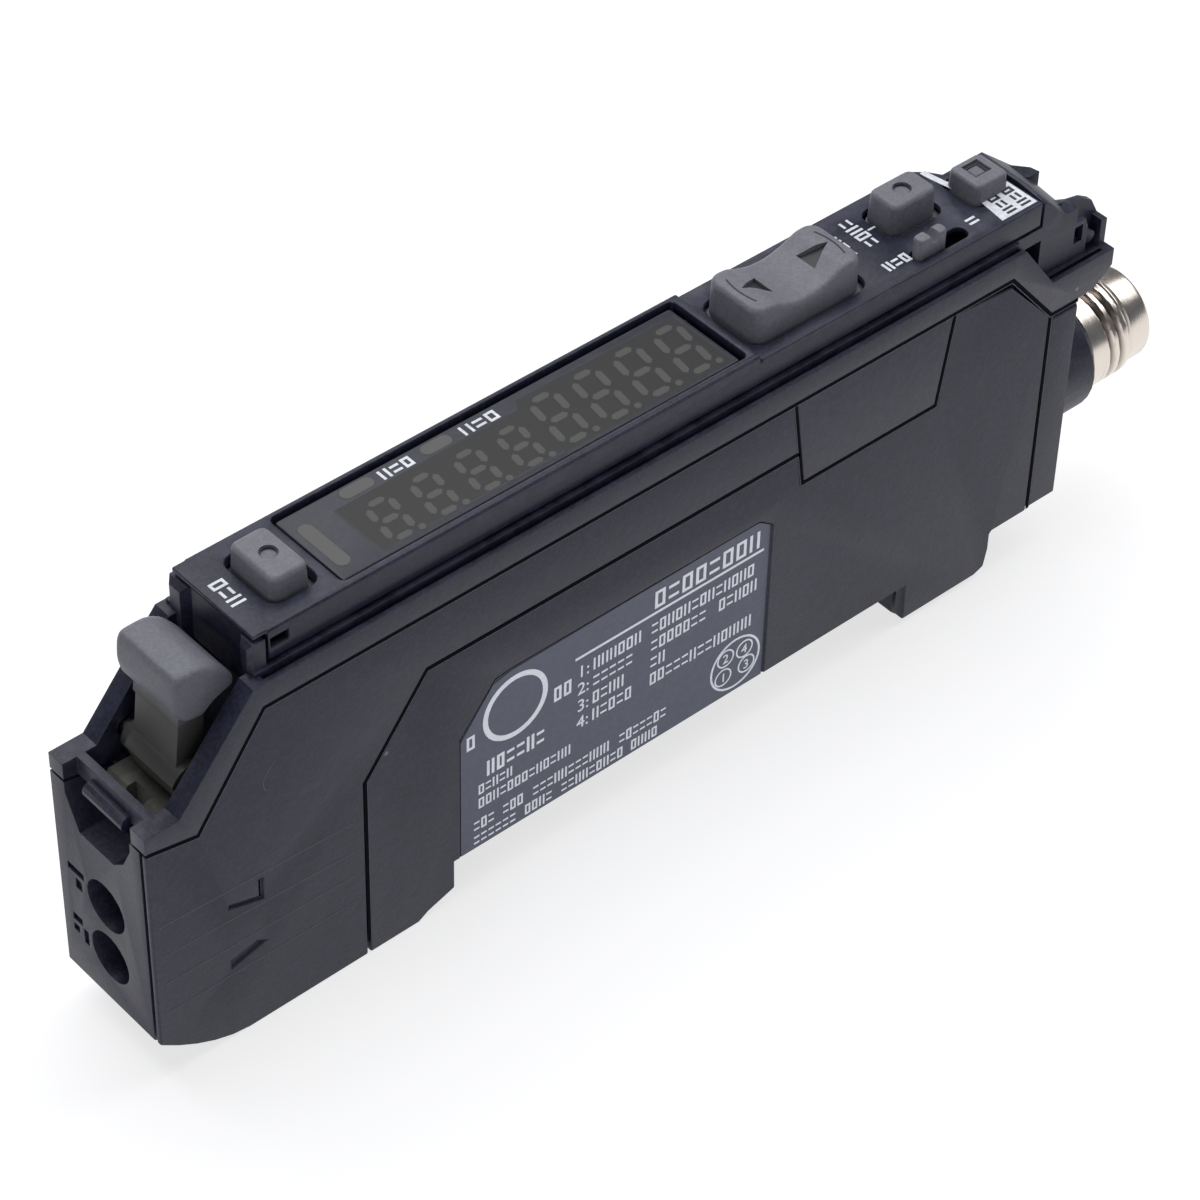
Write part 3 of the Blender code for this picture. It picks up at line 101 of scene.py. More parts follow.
# %% Camera
EYE = (-0.135428, -0.143656, 0.195591)
RIGHT = Vector((0.752055, -0.658777, 0.020627))
DOWN = Vector((-0.439049, -0.524066, -0.729788))
AHEAD = Vector((0.491577, 0.539785, -0.683363))

lens = bpy.data.cameras.new("lens")
lens.lens = 119.7465
lens.sensor_width = 36.0
lens.clip_start = 0.01
lens.clip_end = 10.0
camera = add_object("camera", lens)
turn = Matrix((RIGHT, -DOWN, -AHEAD)).transposed()
camera.matrix_world = Matrix.Translation(EYE) @ turn.to_4x4()
bpy.context.scene.camera = camera
bpy.context.scene.view_settings.view_transform = "Standard"
print("camera at", EYE)

# %% [markdown]
# ## Shader groups
#
# Some effects belong to several finishes: the fine grain of a mould, the paler line along an edge,
# which is partly rubbed wear and partly a painted highlight, the dust that settles in small specks. Each
# one is a node group with named inputs, built once and then placed in each material with its own values.

# %% Tools for node groups


def new_group(name, inputs, outputs):
    """An empty node group: a number socket for each (name, default) input and for each output name."""
    group = bpy.data.node_groups.new(name, "ShaderNodeTree")
    for label, default in inputs:
        socket = group.interface.new_socket(label, in_out="INPUT", socket_type="NodeSocketFloat")
        socket.default_value = default
    for label in outputs:
        group.interface.new_socket(label, in_out="OUTPUT", socket_type="NodeSocketFloat")
    return group, group.nodes.new("NodeGroupInput"), group.nodes.new("NodeGroupOutput")


def feed(tree, socket, value):
    """Link a socket to an input, or set the input to a number or a colour."""
    if isinstance(value, bpy.types.NodeSocket):
        tree.links.new(value, socket)
    else:
        socket.default_value = (*value, 1.0) if isinstance(value, tuple) else value


def math_node(tree, operation, first, second=0.0):
    """A math node on two values or sockets."""
    node = tree.nodes.new("ShaderNodeMath")
    node.operation = operation
    feed(tree, node.inputs[0], first)
    feed(tree, node.inputs[1], second)
    return node.outputs[0]


def ramp_node(tree, value, low, high, to_low=0.0, to_high=1.0):
    """Map a value from one range to another, and keep it inside the new range."""
    node = tree.nodes.new("ShaderNodeMapRange")
    tree.links.new(value, node.inputs["Value"])
    node.inputs["From Min"].default_value = low
    node.inputs["From Max"].default_value = high
    node.inputs["To Min"].default_value = to_low
    node.inputs["To Max"].default_value = to_high
    return node.outputs[0]


def noise_node(tree, scale, detail=2.0, roughness=0.5):
    """Noise over Object coordinates, scale in waves per metre; gives its value."""
    coordinate = tree.nodes.new("ShaderNodeTexCoord")
    noise = tree.nodes.new("ShaderNodeTexNoise")
    tree.links.new(coordinate.outputs["Object"], noise.inputs["Vector"])
    feed(tree, noise.inputs["Scale"], scale)
    noise.inputs["Detail"].default_value = detail
    noise.inputs["Roughness"].default_value = roughness
    return noise.outputs["Fac"]


print("node tools ready")

# %% [markdown]
# **Moulded grain.** A mould for such a case is spark-eroded, which leaves a fine even grain. Two
# noises of different scale, added together, make the height; the group also gives a slow mask that
# mottles the colour, because a real moulding is never quite even.

# %% Moulded grain
inputs = [("Grain Scale", 5000.0), ("Cloud Scale", 160.0)]
group, entry, result = new_group("moulded_grain", inputs, ["Height", "Cloud"])
fine = noise_node(group, entry.outputs["Grain Scale"], 1.0, 0.6)
coarse_scale = math_node(group, "MULTIPLY", entry.outputs["Grain Scale"], 0.37)
coarse = noise_node(group, coarse_scale, 2.0, 0.5)
fine_share = math_node(group, "MULTIPLY", fine, 0.6)
coarse_share = math_node(group, "MULTIPLY", coarse, 0.4)
group.links.new(math_node(group, "ADD", fine_share, coarse_share), result.inputs["Height"])
cloud = noise_node(group, entry.outputs["Cloud Scale"], 4.0, 0.55)
group.links.new(ramp_node(group, cloud, 0.35, 0.65), result.inputs["Cloud"])
moulded_grain = group
print(group.name, [item.name for item in group.interface.items_tree])

# %% [markdown]
# ** Rubbed and lit edges.** Pointiness is a half on flat faces and higher on outer edges. The mask is the
# pointiness above that middle value, broken up by noise, so that the pale edge comes and goes. The pale
# edge is partly wear and partly a painted highlight, a thin line of light along the edge.

# %% Rubbed edges and painted edge highlights
group, entry, result = new_group("worn_and_lit_edges", [("Amount", 0.5), ("Break Scale", 900.0)], ["Mask"])
geometry = group.nodes.new("ShaderNodeNewGeometry")
edge = ramp_node(group, geometry.outputs["Pointiness"], 0.52, 0.60)
broken = ramp_node(group, noise_node(group, entry.outputs["Break Scale"], 3.0, 0.6), 0.42, 0.62)
mask = math_node(group, "MULTIPLY", math_node(group, "MULTIPLY", edge, broken), entry.outputs["Amount"])
group.links.new(mask, result.inputs["Mask"])
worn_and_lit_edges = group
print(group.name)

# %% [markdown]
# **Specks.** A matte black moulding shows every speck of dust. Small cells of a Voronoi pattern are
# kept only near their centres, and only where a random value of the cell is below the density, so that
# a few fine specks are left here and there.

# %% Specks
group, entry, result = new_group("specks", [("Density", 0.12), ("Speck Scale", 420.0)], ["Mask"])
coordinate = group.nodes.new("ShaderNodeTexCoord")
cells = group.nodes.new("ShaderNodeTexVoronoi")
group.links.new(coordinate.outputs["Object"], cells.inputs["Vector"])
group.links.new(entry.outputs["Speck Scale"], cells.inputs["Scale"])
near = ramp_node(group, cells.outputs["Distance"], 0.02, 0.06, 1.0, 0.0)
split = group.nodes.new("ShaderNodeSeparateColor")
group.links.new(cells.outputs["Color"], split.inputs[0])
chosen = math_node(group, "LESS_THAN", split.outputs[0], entry.outputs["Density"])
group.links.new(math_node(group, "MULTIPLY", near, chosen), result.inputs["Mask"])
specks = group
print(group.name)

# %% [markdown]
# ## Finishes
#
# Every finish starts from the same surface shader. These tools mix two colours by a mask, place a
# shader group, and add a fine relief as a bump.

# %% Tools for finishes
FIRST_COLOUR = 6
SECOND_COLOUR = 7
MIXED_COLOUR = 2


def mix_colour(tree, mask, first, second):
    """Mix two colours or sockets by a mask."""
    node = tree.nodes.new("ShaderNodeMix")
    node.data_type = "RGBA"
    tree.links.new(mask, node.inputs["Factor"])
    feed(tree, node.inputs[FIRST_COLOUR], first)
    feed(tree, node.inputs[SECOND_COLOUR], second)
    return node.outputs[MIXED_COLOUR]


def use_group(tree, group, **values):
    """Place a node group in a material and set its inputs."""
    node = tree.nodes.new("ShaderNodeGroup")
    node.node_tree = group
    for label, value in values.items():
        node.inputs[label.replace("_", " ")].default_value = value
    return node


def new_finish(name):
    """A new material, with its node tree and its surface shader."""
    material = bpy.data.materials.new(name)
    material.use_nodes = True
    return material, material.node_tree, material.node_tree.nodes["Principled BSDF"]


def add_relief(tree, height, strength, distance):
    """A bump on the surface: a height from 0 to 1 stands for a distance in metres."""
    relief = tree.nodes.new("ShaderNodeBump")
    relief.inputs["Strength"].default_value = strength
    relief.inputs["Distance"].default_value = distance
    tree.links.new(height, relief.inputs["Height"])
    tree.links.new(relief.outputs["Normal"], tree.nodes["Principled BSDF"].inputs["Normal"])


def paint_over(tree, mask, colour):
    """Mix a colour over the base colour that a material has so far, by a mask."""
    base = tree.nodes["Principled BSDF"].inputs["Base Color"]
    tree.links.new(mix_colour(tree, mask, base.links[0].from_socket, colour), base)


print("finish tools ready")

# %% [markdown]
# **Moulded plastics.** The case, the frame and the buttons differ in colour, roughness and grain. One
# function builds such a finish, and each call gives it the values of its own piece.

# %% Moulded plastics
CLOUD_SCALE = 140.0
WEAR_AND_HIGHLIGHT_SCALE = 700.0
SPECK_SCALE = 260.0
DUST_COLOUR = (0.30, 0.30, 0.32)
GRAIN_DEPTH = 0.00006
FINE = 0.06


def moulded_plastic(name, colour, roughness, grain, bump, wear_and_highlight, speck, spread=0.01, shine=0.42, grit=0.26):
    """A moulded plastic: clouded base colour, fine grain in colour and bump, paler edges of wear and painted
    highlight, a few specks.

    The base is colour (1 - grit) (1 -+ spread) by the cloud, and colour (1 + 2 grit) where the grain is high.
    """
    material, tree, surface = new_finish(name)
    grains = use_group(tree, moulded_grain, Grain_Scale=grain, Cloud_Scale=CLOUD_SCALE)
    edges = use_group(tree, worn_and_lit_edges, Amount=wear_and_highlight, Break_Scale=WEAR_AND_HIGHLIGHT_SCALE)
    dust = use_group(tree, specks, Density=speck, Speck_Scale=SPECK_SCALE)
    dark = tuple(channel * (1.0 - grit) * (1.0 - spread) for channel in colour)
    light = tuple(channel * (1.0 - grit) * (1.0 + spread) for channel in colour)
    base = mix_colour(tree, grains.outputs["Cloud"], dark, light)
    grainy = tuple(channel * (1.0 + 2.0 * grit) for channel in colour)
    base = mix_colour(tree, ramp_node(tree, grains.outputs["Height"], 0.42, 0.60), base, grainy)
    surface.inputs["Specular IOR Level"].default_value = shine
    # Paler edges: partly wear, partly a painted highlight along the edges.
    pale = tuple(min(1.0, channel * 2.2 + 0.02) for channel in colour)
    worn_and_lit = mix_colour(tree, edges.outputs["Mask"], base, pale)
    dusty = mix_colour(tree, dust.outputs["Mask"], worn_and_lit, DUST_COLOUR)
    tree.links.new(dusty, surface.inputs["Base Color"])
    rough = ramp_node(tree, grains.outputs["Cloud"], 0.0, 1.0, roughness - 0.01, roughness + 0.01)
    tree.links.new(rough, surface.inputs["Roughness"])
    add_relief(tree, grains.outputs["Height"], bump, GRAIN_DEPTH)
    return material


# Each call gives name, colour, roughness, grain scale, bump, edge wear with painted highlight, and share of
# specks.
case_finish = moulded_plastic("case_black", (0.0125, 0.0138, 0.0315), 0.48, 4200.0, 0.55, 0.30, 0.05)
frame_finish = moulded_plastic("frame_black", (0.0135, 0.0148, 0.0325), 0.44, 4600.0, 0.40, 0.60, 0.05)
button_finish = moulded_plastic("button_grey", (0.162, 0.164, 0.190), 0.5, 5200.0, 0.35, 0.3, 0.06, grit=FINE)
lever_finish = moulded_plastic("lever_grey", (0.146, 0.149, 0.174), 0.5, 5200.0, 0.35, 0.3, 0.06, grit=FINE)
# The cream clamp is painted far darker than cream: painted shade, as it sits deep inside the nose.
shaded_clamp_finish = moulded_plastic("clamp_cream", (0.10, 0.098, 0.086), 0.5, 4000.0, 0.3, 0.2, 0.02, grit=FINE)
board_finish = moulded_plastic("board_green", (0.020, 0.110, 0.055), 0.42, 2500.0, 0.3, 0.1, 0.0, grit=FINE)
inner_finish = moulded_plastic("inner_black", (0.020, 0.020, 0.023), 0.48, 4200.0, 0.3, 0.1, 0.0)
print(len(bpy.data.materials), "materials")

# %% [markdown]
# ** Shaded neck.** The lever's neck lies in the shade of the thumb pad, so its colour is painted darker
# further down: a painted shade that changes with the height over about a millimetre.

# %% Painted shade on the neck
UNSHADED_ABOVE = 0.0279
SHADED_BELOW = 0.0268
tree = lever_finish.node_tree
coordinate = tree.nodes.new("ShaderNodeTexCoord")
split = tree.nodes.new("ShaderNodeSeparateXYZ")
tree.links.new(coordinate.outputs["Object"], split.inputs[0])
# Painted shade: below the pad the lever turns a dark grey-brown, where the pad's shade falls.
paint_over(tree, ramp_node(tree, split.outputs["Z"], UNSHADED_ABOVE, SHADED_BELOW), (0.040, 0.038, 0.036))
print("dark below", SHADED_BELOW, "m")

# %% [markdown]
# **Metal.** The plug is brass with a satin nickel plate: warm silver, with fine turning marks that
# run round it. The marks are waves along the length, so they ring the plug.

# %% Metals
MARK_DEPTH = 0.00004


def plated_metal(name, colour, roughness, marks, bump, valley_tint=None):
    """A plated turned metal: waves along the length as bump, slow changes of colour, a darker tint in its
    valleys.
    """
    material, tree, surface = new_finish(name)
    surface.inputs["Metallic"].default_value = 1.0
    coordinate = tree.nodes.new("ShaderNodeTexCoord")
    stretch = tree.nodes.new("ShaderNodeMapping")
    stretch.inputs["Scale"].default_value = (marks, marks * 0.03, marks * 0.03)
    tree.links.new(coordinate.outputs["Object"], stretch.inputs["Vector"])
    turning = tree.nodes.new("ShaderNodeTexNoise")
    turning.inputs["Scale"].default_value = 1.0
    turning.inputs["Detail"].default_value = 3.0
    tree.links.new(stretch.outputs["Vector"], turning.inputs["Vector"])
    cloud = noise_node(tree, 260.0, 4.0, 0.6)
    tint = mix_colour(tree, cloud, tuple(channel * 0.90 for channel in colour), colour)
    # Darker brown towards the bottom of the thread's valleys and in the groove, by the attribute depth.
    if valley_tint is not None:
        depth = tree.nodes.new("ShaderNodeAttribute")
        depth.attribute_name = "depth"
        tint = mix_colour(tree, ramp_node(tree, depth.outputs["Fac"], 0.15, 1.0), tint, valley_tint)
    tree.links.new(tint, surface.inputs["Base Color"])
    rough = ramp_node(tree, cloud, 0.3, 0.7, roughness - 0.06, roughness + 0.06)
    tree.links.new(rough, surface.inputs["Roughness"])
    add_relief(tree, turning.outputs["Fac"], bump, MARK_DEPTH)
    return material


nickel_finish = plated_metal("nickel_plate", (0.76, 0.69, 0.62), 0.25, 9000.0, 0.30, (0.075, 0.050, 0.035))
steel_finish = plated_metal("bright_steel", (0.60, 0.60, 0.61), 0.28, 7000.0, 0.25)
gold_finish = plated_metal("gold_plate", (0.80, 0.60, 0.28), 0.25, 7000.0, 0.2)
print("nickel, steel, gold")

# %% [markdown]
# **Smoked window.** The display sits behind smoked acrylic with a fine matte hard coat. With the
# display off, the segments are just paler than the ground behind them.

# %% Window, display and print finishes
WINDOW_SHINE = 0.3
WINDOW_COLOUR = (0.040, 0.041, 0.056)
GROUND_COLOUR = (0.021, 0.021, 0.022)
WHITE_INK = (0.72, 0.74, 0.80)


def flat_finish(name, colour, roughness, spread=0.06, shine=0.5, glow=0.0):
    """An even finish, such as print or smoked acrylic, with slight clouding and a slight texture; a glow adds
    painted light.
    """
    material = moulded_plastic(name, colour, roughness, 3000.0, 0.15, 0.0, 0.0, spread, shine, FINE)
    surface = material.node_tree.nodes["Principled BSDF"]
    surface.inputs["Emission Color"].default_value = (*colour, 1.0)
    surface.inputs["Emission Strength"].default_value = glow
    return material


def film_finish(name, ground, mark, roughness):
    """A thin film: the attribute tone, from 0 to 1, mixes the colour of the ground with that of the mark."""
    material = flat_finish(name, ground, roughness, 0.04, WINDOW_SHINE)
    tone = material.node_tree.nodes.new("ShaderNodeAttribute")
    tone.attribute_name = "tone"
    paint_over(material.node_tree, tone.outputs["Fac"], mark)
    return material


window_finish = flat_finish("smoked_acrylic", WINDOW_COLOUR, 0.34, 0.04, WINDOW_SHINE)
ground_finish = film_finish("display_ground", WINDOW_COLOUR, GROUND_COLOUR, 0.34)
segment_finish = film_finish("idle_segment", GROUND_COLOUR, (0.075, 0.074, 0.074), 0.36)
lamp_finish = film_finish("idle_lamp", GROUND_COLOUR, (0.100, 0.099, 0.098), 0.36)
# The white print and the grey label glow a little, though they are no lamps: painted light that brightens
# them.
print_finish = flat_finish("white_print", WHITE_INK, 0.50, glow=0.05)
label_print_finish = flat_finish("label_white", WHITE_INK, 0.50, glow=0.38)
label_finish = flat_finish("label_grey", (0.090, 0.100, 0.160), 0.36, glow=0.06)
# Dark ink for real print, also used as painted shade in the cuts, dents, pit and fine grooves.
ink_and_shade_finish = flat_finish("dark_ink", (0.022, 0.023, 0.030), 0.50)
# Painted shadow for the joints between the covers.
shadow_finish = flat_finish("joint_shadow", (0.003, 0.003, 0.006), 0.8, shine=0.05)
# Painted highlight for the lips of joints and the walls of fine grooves, and the pale colour of a real
# scratch.
highlight_and_scratch_finish = flat_finish("painted_highlight_and_scratch", (0.085, 0.088, 0.115), 0.45)
lens_finish = flat_finish("clear_lens", (0.70, 0.72, 0.75), 0.15)
print(len(bpy.data.materials), "materials")

# %% [markdown]
# ## Shapes from outlines
#
# Many shapes below are slabs: an outline drawn out along an axis and closed by two lids. A slab can be a
# cutter, a film of ink or a ring. Points come as whole arrays, ring by ring, so one rule gives the faces
# between neighbouring rings of every shape.

# %% Outlines and slabs


def turned_left(outline):
    """The outline in left-turning order, by the sign of its area: half the sum of cross products."""
    outline = np.asarray(outline, float)
    after = np.roll(outline, -1, axis=0)
    area = np.sum(outline[:, 0] * after[:, 1] - after[:, 0] * outline[:, 1])
    return outline if area > 0 else outline[::-1]


def on_side(outline):
    """From (back, up), as seen from the side, to the plane's own order (up, back), turning left."""
    return turned_left(np.asarray(outline, float)[:, ::-1])


def box_outline(box):
    """The four corners of a box (left, low, right, high), turning left."""
    left, low, right, high = box
    return [(left, low), (right, low), (right, high), (left, high)]


def circle_outline(first, second, radius, count=40):
    """A circle about a point (first, second), as an outline that turns left."""
    around = np.linspace(0, 2 * np.pi, count + 1)[:-1]
    return np.column_stack([first + radius * np.cos(around), second + radius * np.sin(around)])


def scaled(outline, share):
    """An outline scaled about the middle m of its corners: m + (p - m) * share."""
    middle = outline.mean(axis=0)
    return middle + (outline - middle) * share


def ring_quads(rings, count):
    """The quads between neighbouring rings: each joins a point and its neighbour to the ring after."""
    here = np.arange((rings - 1) * count).reshape(-1, count)
    after = np.roll(here, -1, axis=1)
    return np.stack([here, after, after + count, here + count], axis=-1).reshape(-1, 4).tolist()


def slab(outline, low, high, axis, inner=None):
    """A closed slab on an outline in the plane across an axis: one wall, and two lids or two ring faces.

    The plane's two directions follow the axis in order, so that (across, up, back) for X, (up, back, across)
    for Y and (back, across, up) for Z is a right-handed set, and a left-turning outline gives outward faces.
    The level of a lid is one number, or one for each corner.
    """
    outline = np.asarray(outline, float)
    count = len(outline)
    lift = {"X": (2, 0, 1), "Y": (1, 2, 0), "Z": (0, 1, 2)}[axis]
    loops = [outline] if inner is None else [outline, np.asarray(inner, float)]
    rows = []
    for level in (low, high):
        for loop in loops:
            rows.append(np.column_stack([loop, np.broadcast_to(level, count)])[:, lift])
    points = place(np.vstack(rows))
    here = np.arange(count)
    if inner is None:
        return points, [*ring_quads(2, count), (here + count).tolist(), here[::-1].tolist()]
    pair = np.stack([here, np.roll(here, -1)])
    near_out, near_in, far_out, far_in = (pair + count * step for step in range(4))
    walls = [
        (near_out[0], near_out[1], far_out[1], far_out[0]),
        (near_in[1], near_in[0], far_in[0], far_in[1]),
        (far_out[0], far_out[1], far_in[1], far_in[0]),
        (near_out[1], near_out[0], near_in[0], near_in[1]),
    ]
    return points, np.vstack([np.column_stack(wall) for wall in walls]).tolist()


print("corners of a unit slab", len(slab(box_outline((0, 0, 1, 1)), 0.0, 1.0, "Z")[0]))

# %% [markdown]
# A piece is an object on one of the bodies. It may join several shapes, and it may have shapes cut out.

# %% Pieces


def link_mesh(name, mesh, finish):
    """A new object for a mesh, with its finish."""
    mesh.materials.append(finish)
    return add_object(name, mesh)


def join_shapes(name, shapes, finish, body):
    """One piece from a list of (points, faces)."""
    points = []
    faces = []
    total = 0
    for own_points, own_faces in shapes:
        points.append(own_points)
        faces += [[index + total for index in face] for face in own_faces]
        total += len(own_points)
    mesh = bpy.data.meshes.new(name)
    mesh.from_pydata(np.vstack(points), [], faces)
    piece = link_mesh(name, mesh, finish)
    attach(piece, body)
    return piece


def cut_with(piece, shapes):
    """Cut closed shapes out of a piece with an exact boolean, and keep the result as the piece's mesh."""
    for points, faces in shapes:
        mesh = bpy.data.meshes.new("cutter")
        mesh.from_pydata(points, [], faces)
        cutter = add_object("cutter", mesh)
        step = piece.modifiers.new("cut", "BOOLEAN")
        step.operation = "DIFFERENCE"
        step.solver = "EXACT"
        step.object = cutter
        cut = bpy.data.meshes.new_from_object(piece.evaluated_get(bpy.context.evaluated_depsgraph_get()))
        piece.modifiers.clear()
        piece.data = cut
        bpy.data.objects.remove(cutter)


print("piece tools ready")

# %% [markdown]
# ## Soft edges
#
# No moulding has a knife edge. Each case piece is a copy of its solid with the triangles merged back
# into whole faces, and a narrow bevel on every sharp edge, which catches the light as a thin line.

# %% Softened copies of the solids
MERGE_REACH = 2e-6
FLAT_ANGLE = math.radians(1.0)
SHARP_ANGLE = math.radians(28.0)


def merged_copy(name, label, finish, flatten=False):
    """A copy of a solid with equal points merged and, where asked, flat triangles joined."""
    shape = bmesh.new()
    shape.from_mesh(nodes[name].data)
    bmesh.ops.remove_doubles(shape, verts=shape.verts, dist=MERGE_REACH)
    if flatten:
        bmesh.ops.dissolve_limit(shape, angle_limit=FLAT_ANGLE, verts=shape.verts, edges=shape.edges)
    mesh = bpy.data.meshes.new(label)
    shape.to_mesh(mesh)
    shape.free()
    return link_mesh(label, mesh, finish)


def softened(name, finish, width, cuts=(), segments=3, clamp=True):
    """A copy of a solid with its cuts, and a bevel of a width in millimetres on every sharp edge."""
    piece = merged_copy(name, f"{name}_soft", finish, True)
    cut_with(piece, cuts)
    piece.data.shade_smooth()
    bevel = piece.modifiers.new("soft_edge", "BEVEL")
    bevel.width = width * MM
    bevel.segments = segments
    bevel.limit_method = "ANGLE"
    bevel.angle_limit = SHARP_ANGLE
    bevel.harden_normals = True
    bevel.use_clamp_overlap = clamp
    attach(piece, body_of_node[name])
    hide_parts(name)


print("soft edges from", round(math.degrees(SHARP_ANGLE)), "degrees")

# %% [markdown]
# **Case and frame.** Beside the fibre holes the face of the nose has five plain marks, pressed in by
# about a fifth of a millimetre: they are cut before the bevel. The two pieces with the most detail
# keep their bevel within their shortest edges.

# %% Case and frame
MARK_FLOOR = 0.22
FACE_MARKS = [(2.25, 12.55, 3.95, 13.15), (2.55, 11.3, 3.2, 12.2), (2.9, 7.9, 3.9, 8.5), (3.3, 6.9, 3.9, 7.5),
              (2.3, 6.5, 2.8, 7.8)]
face_cuts = [slab(box_outline(mark), -0.5, MARK_FLOOR, "X") for mark in FACE_MARKS]
softened("main_case", case_finish, 0.14, face_cuts)
for name in ("nose_cover", "side_plate", "expansion_cover", "rear_case"):
    softened(name, case_finish, 0.14, clamp=False)
softened("top_frame", frame_finish, 0.12)
softened("panel_cover", frame_finish, 0.12, clamp=False)
print(len(face_cuts), "marks in the face")

# %% [markdown]
# ## Round surfaces
#
# The thumb pad and the caps of the buttons are rounder than a bevel can make them, so each is built of
# rings of points. A cap rises up its walls, turns over a shoulder and closes in rings over its top. A
# pillow is a stack of sections whose ends shrink along a quarter of a circle.

# %% Caps and pillows
CORNER_STEPS = 9
SIDE_STEPS = (38, 14)
WALL_STEPS = 4
SHOULDER_STEPS = 8
LID_STEPS = 22
LEAST_CORNER = 0.05
CORNER_CUTS = (0.18, 0.25, 0.25)
GROWTH = 1.05
MIDDLE_SECTIONS = 4
SMOOTH_ANGLE = math.radians(38.0)


def soft_cap(box, corner, base, height, draft, shoulder):
    """A closed cap on a rounded rectangle (front, rear, near, far), under a height z = h(back).

    Up the wall, t from 0 to 1, the outline comes in by draft * t and rises as base + (h - r - base) * t. Over
    the shoulder of radius r it comes in by draft + r * (1 - cos a) and rises as h - r + r * sin a. Over the
    top it shrinks to the middle with z = h.
    """
    front, rear, near, far = box
    signs = np.array([(1, 1), (-1, 1), (-1, -1), (1, -1)], float)
    sweep = np.linspace(0.0, np.pi / 2, CORNER_STEPS)
    weights = []
    angles = []
    for quarter in range(4):
        start, end = signs[quarter], signs[(quarter + 1) % 4]
        along = np.linspace(0.0, 1.0, SIDE_STEPS[quarter % 2])[1:-1, None]
        weights += [np.tile(start, (len(sweep), 1)), start + (end - start) * along]
        angles += [sweep + quarter * np.pi / 2, np.full(len(along), (quarter + 1) * np.pi / 2)]
    weights = np.vstack(weights)
    angles = np.concatenate(angles)
    ways = np.column_stack([np.cos(angles), np.sin(angles)])
    count = len(weights)
    middle = np.array([(front + rear) / 2, (near + far) / 2])
    half = np.array([(rear - front) / 2, (far - near) / 2])
    climb = np.linspace(0.0, 1.0, WALL_STEPS)
    turn = np.linspace(0.0, np.pi / 2, SHOULDER_STEPS)[1:]
    insets = np.concatenate([draft * climb, draft + shoulder * (1.0 - np.cos(turn))])
    kept = np.maximum(corner, insets + LEAST_CORNER)
    flat = middle + weights * (half - kept[:, None, None]) + ways * (kept - insets)[:, None, None]
    high = height(flat[..., 0])
    walls = base + (high[:WALL_STEPS] - shoulder - base) * climb[:, None]
    bend = high[WALL_STEPS:] - shoulder + shoulder * np.sin(turn)[:, None]
    shrink = np.linspace(1.0, 0.0, LID_STEPS)[1:-1, None, None]
    lids = middle + (flat[-1] - middle) * shrink
    rings = np.concatenate([flat, lids])
    levels = np.concatenate([walls, bend, height(lids[..., 0])])
    points = np.column_stack([rings.reshape(-1, 2), levels.ravel()])
    points = np.vstack([points, [*middle, float(height(middle[0]))]])
    first = np.arange(count)
    last = first + (len(rings) - 1) * count
    fan = np.column_stack([last, np.roll(last, -1), np.full(count, len(points) - 1)]).tolist()
    return place(points), [*ring_quads(len(rings), count), *fan, first[::-1].tolist()]


def pillow(profile, near, far, shoulder, reach):
    """A closed pillow along the across direction, on a (back, up) profile.

    The profile's corners are cut three times, each time by a share of the two edges that meet there, and the
    rounded outline is grown a little. Over the ends, b from 0 to 90 degrees, the section sits at
    near + r * (1 - cos b) and is scaled about its middle by 1 - r * (1 - sin b) / reach.
    """
    outline = on_side(profile)
    for share in CORNER_CUTS:
        after = np.roll(outline, -1, axis=0)
        cut = np.stack([outline + (after - outline) * share, after - (after - outline) * share], axis=1)
        outline = cut.reshape(-1, 2)
    middle = outline.mean(axis=0)
    outline = scaled(outline, GROWTH)
    bend = np.linspace(0.0, np.pi / 2, CORNER_STEPS)
    end = shoulder * (1.0 - np.cos(bend))
    scale = 1.0 - shoulder * (1.0 - np.sin(bend)) / reach
    between = np.linspace(near + shoulder, far - shoulder, MIDDLE_SECTIONS + 2)[1:-1]
    across = np.concatenate([near + end, between, (far - end)[::-1]])
    scales = np.concatenate([scale, np.ones(MIDDLE_SECTIONS), scale[::-1]])
    sections = middle + (outline - middle) * scales[:, None, None]
    count = len(outline)
    rows = np.column_stack([sections[..., 1].ravel(), np.repeat(across, count), sections[..., 0].ravel()])
    poles = [[middle[1], near, middle[0]], [middle[1], far, middle[0]]]
    points = np.vstack([rows, poles])
    first = np.arange(count)
    last = first + len(rows) - count
    near_fan = np.column_stack([np.roll(first, -1), first, np.full(count, len(rows))]).tolist()
    far_fan = np.column_stack([last, np.roll(last, -1), np.full(count, len(rows) + 1)]).tolist()
    return place(points), [*ring_quads(len(across), count), *near_fan, *far_fan]


def round_piece(name, shape, finish, body, cuts=()):
    """A round surface as a piece, with its cuts, smooth but for edges where the faces turn quickly."""
    piece = join_shapes(name, [shape], finish, body)
    cut_with(piece, cuts)
    piece.data.shade_smooth()
    piece.data.set_sharp_from_angle(angle=SMOOTH_ANGLE)


def all_above(level):
    """A cutter that takes away all of a piece above a level."""
    return slab(box_outline((-5.0, -8.0, 95.0, 8.0)), level, 40.0, "Z")


print("steps round a cap", 4 * CORNER_STEPS + 2 * sum(SIDE_STEPS) - 8)

# %% [markdown]
# **Lever.** The solid lever stays up to its neck. Above that a round pad takes the thumb, and a plain
# neck joins the pad to the barrel.

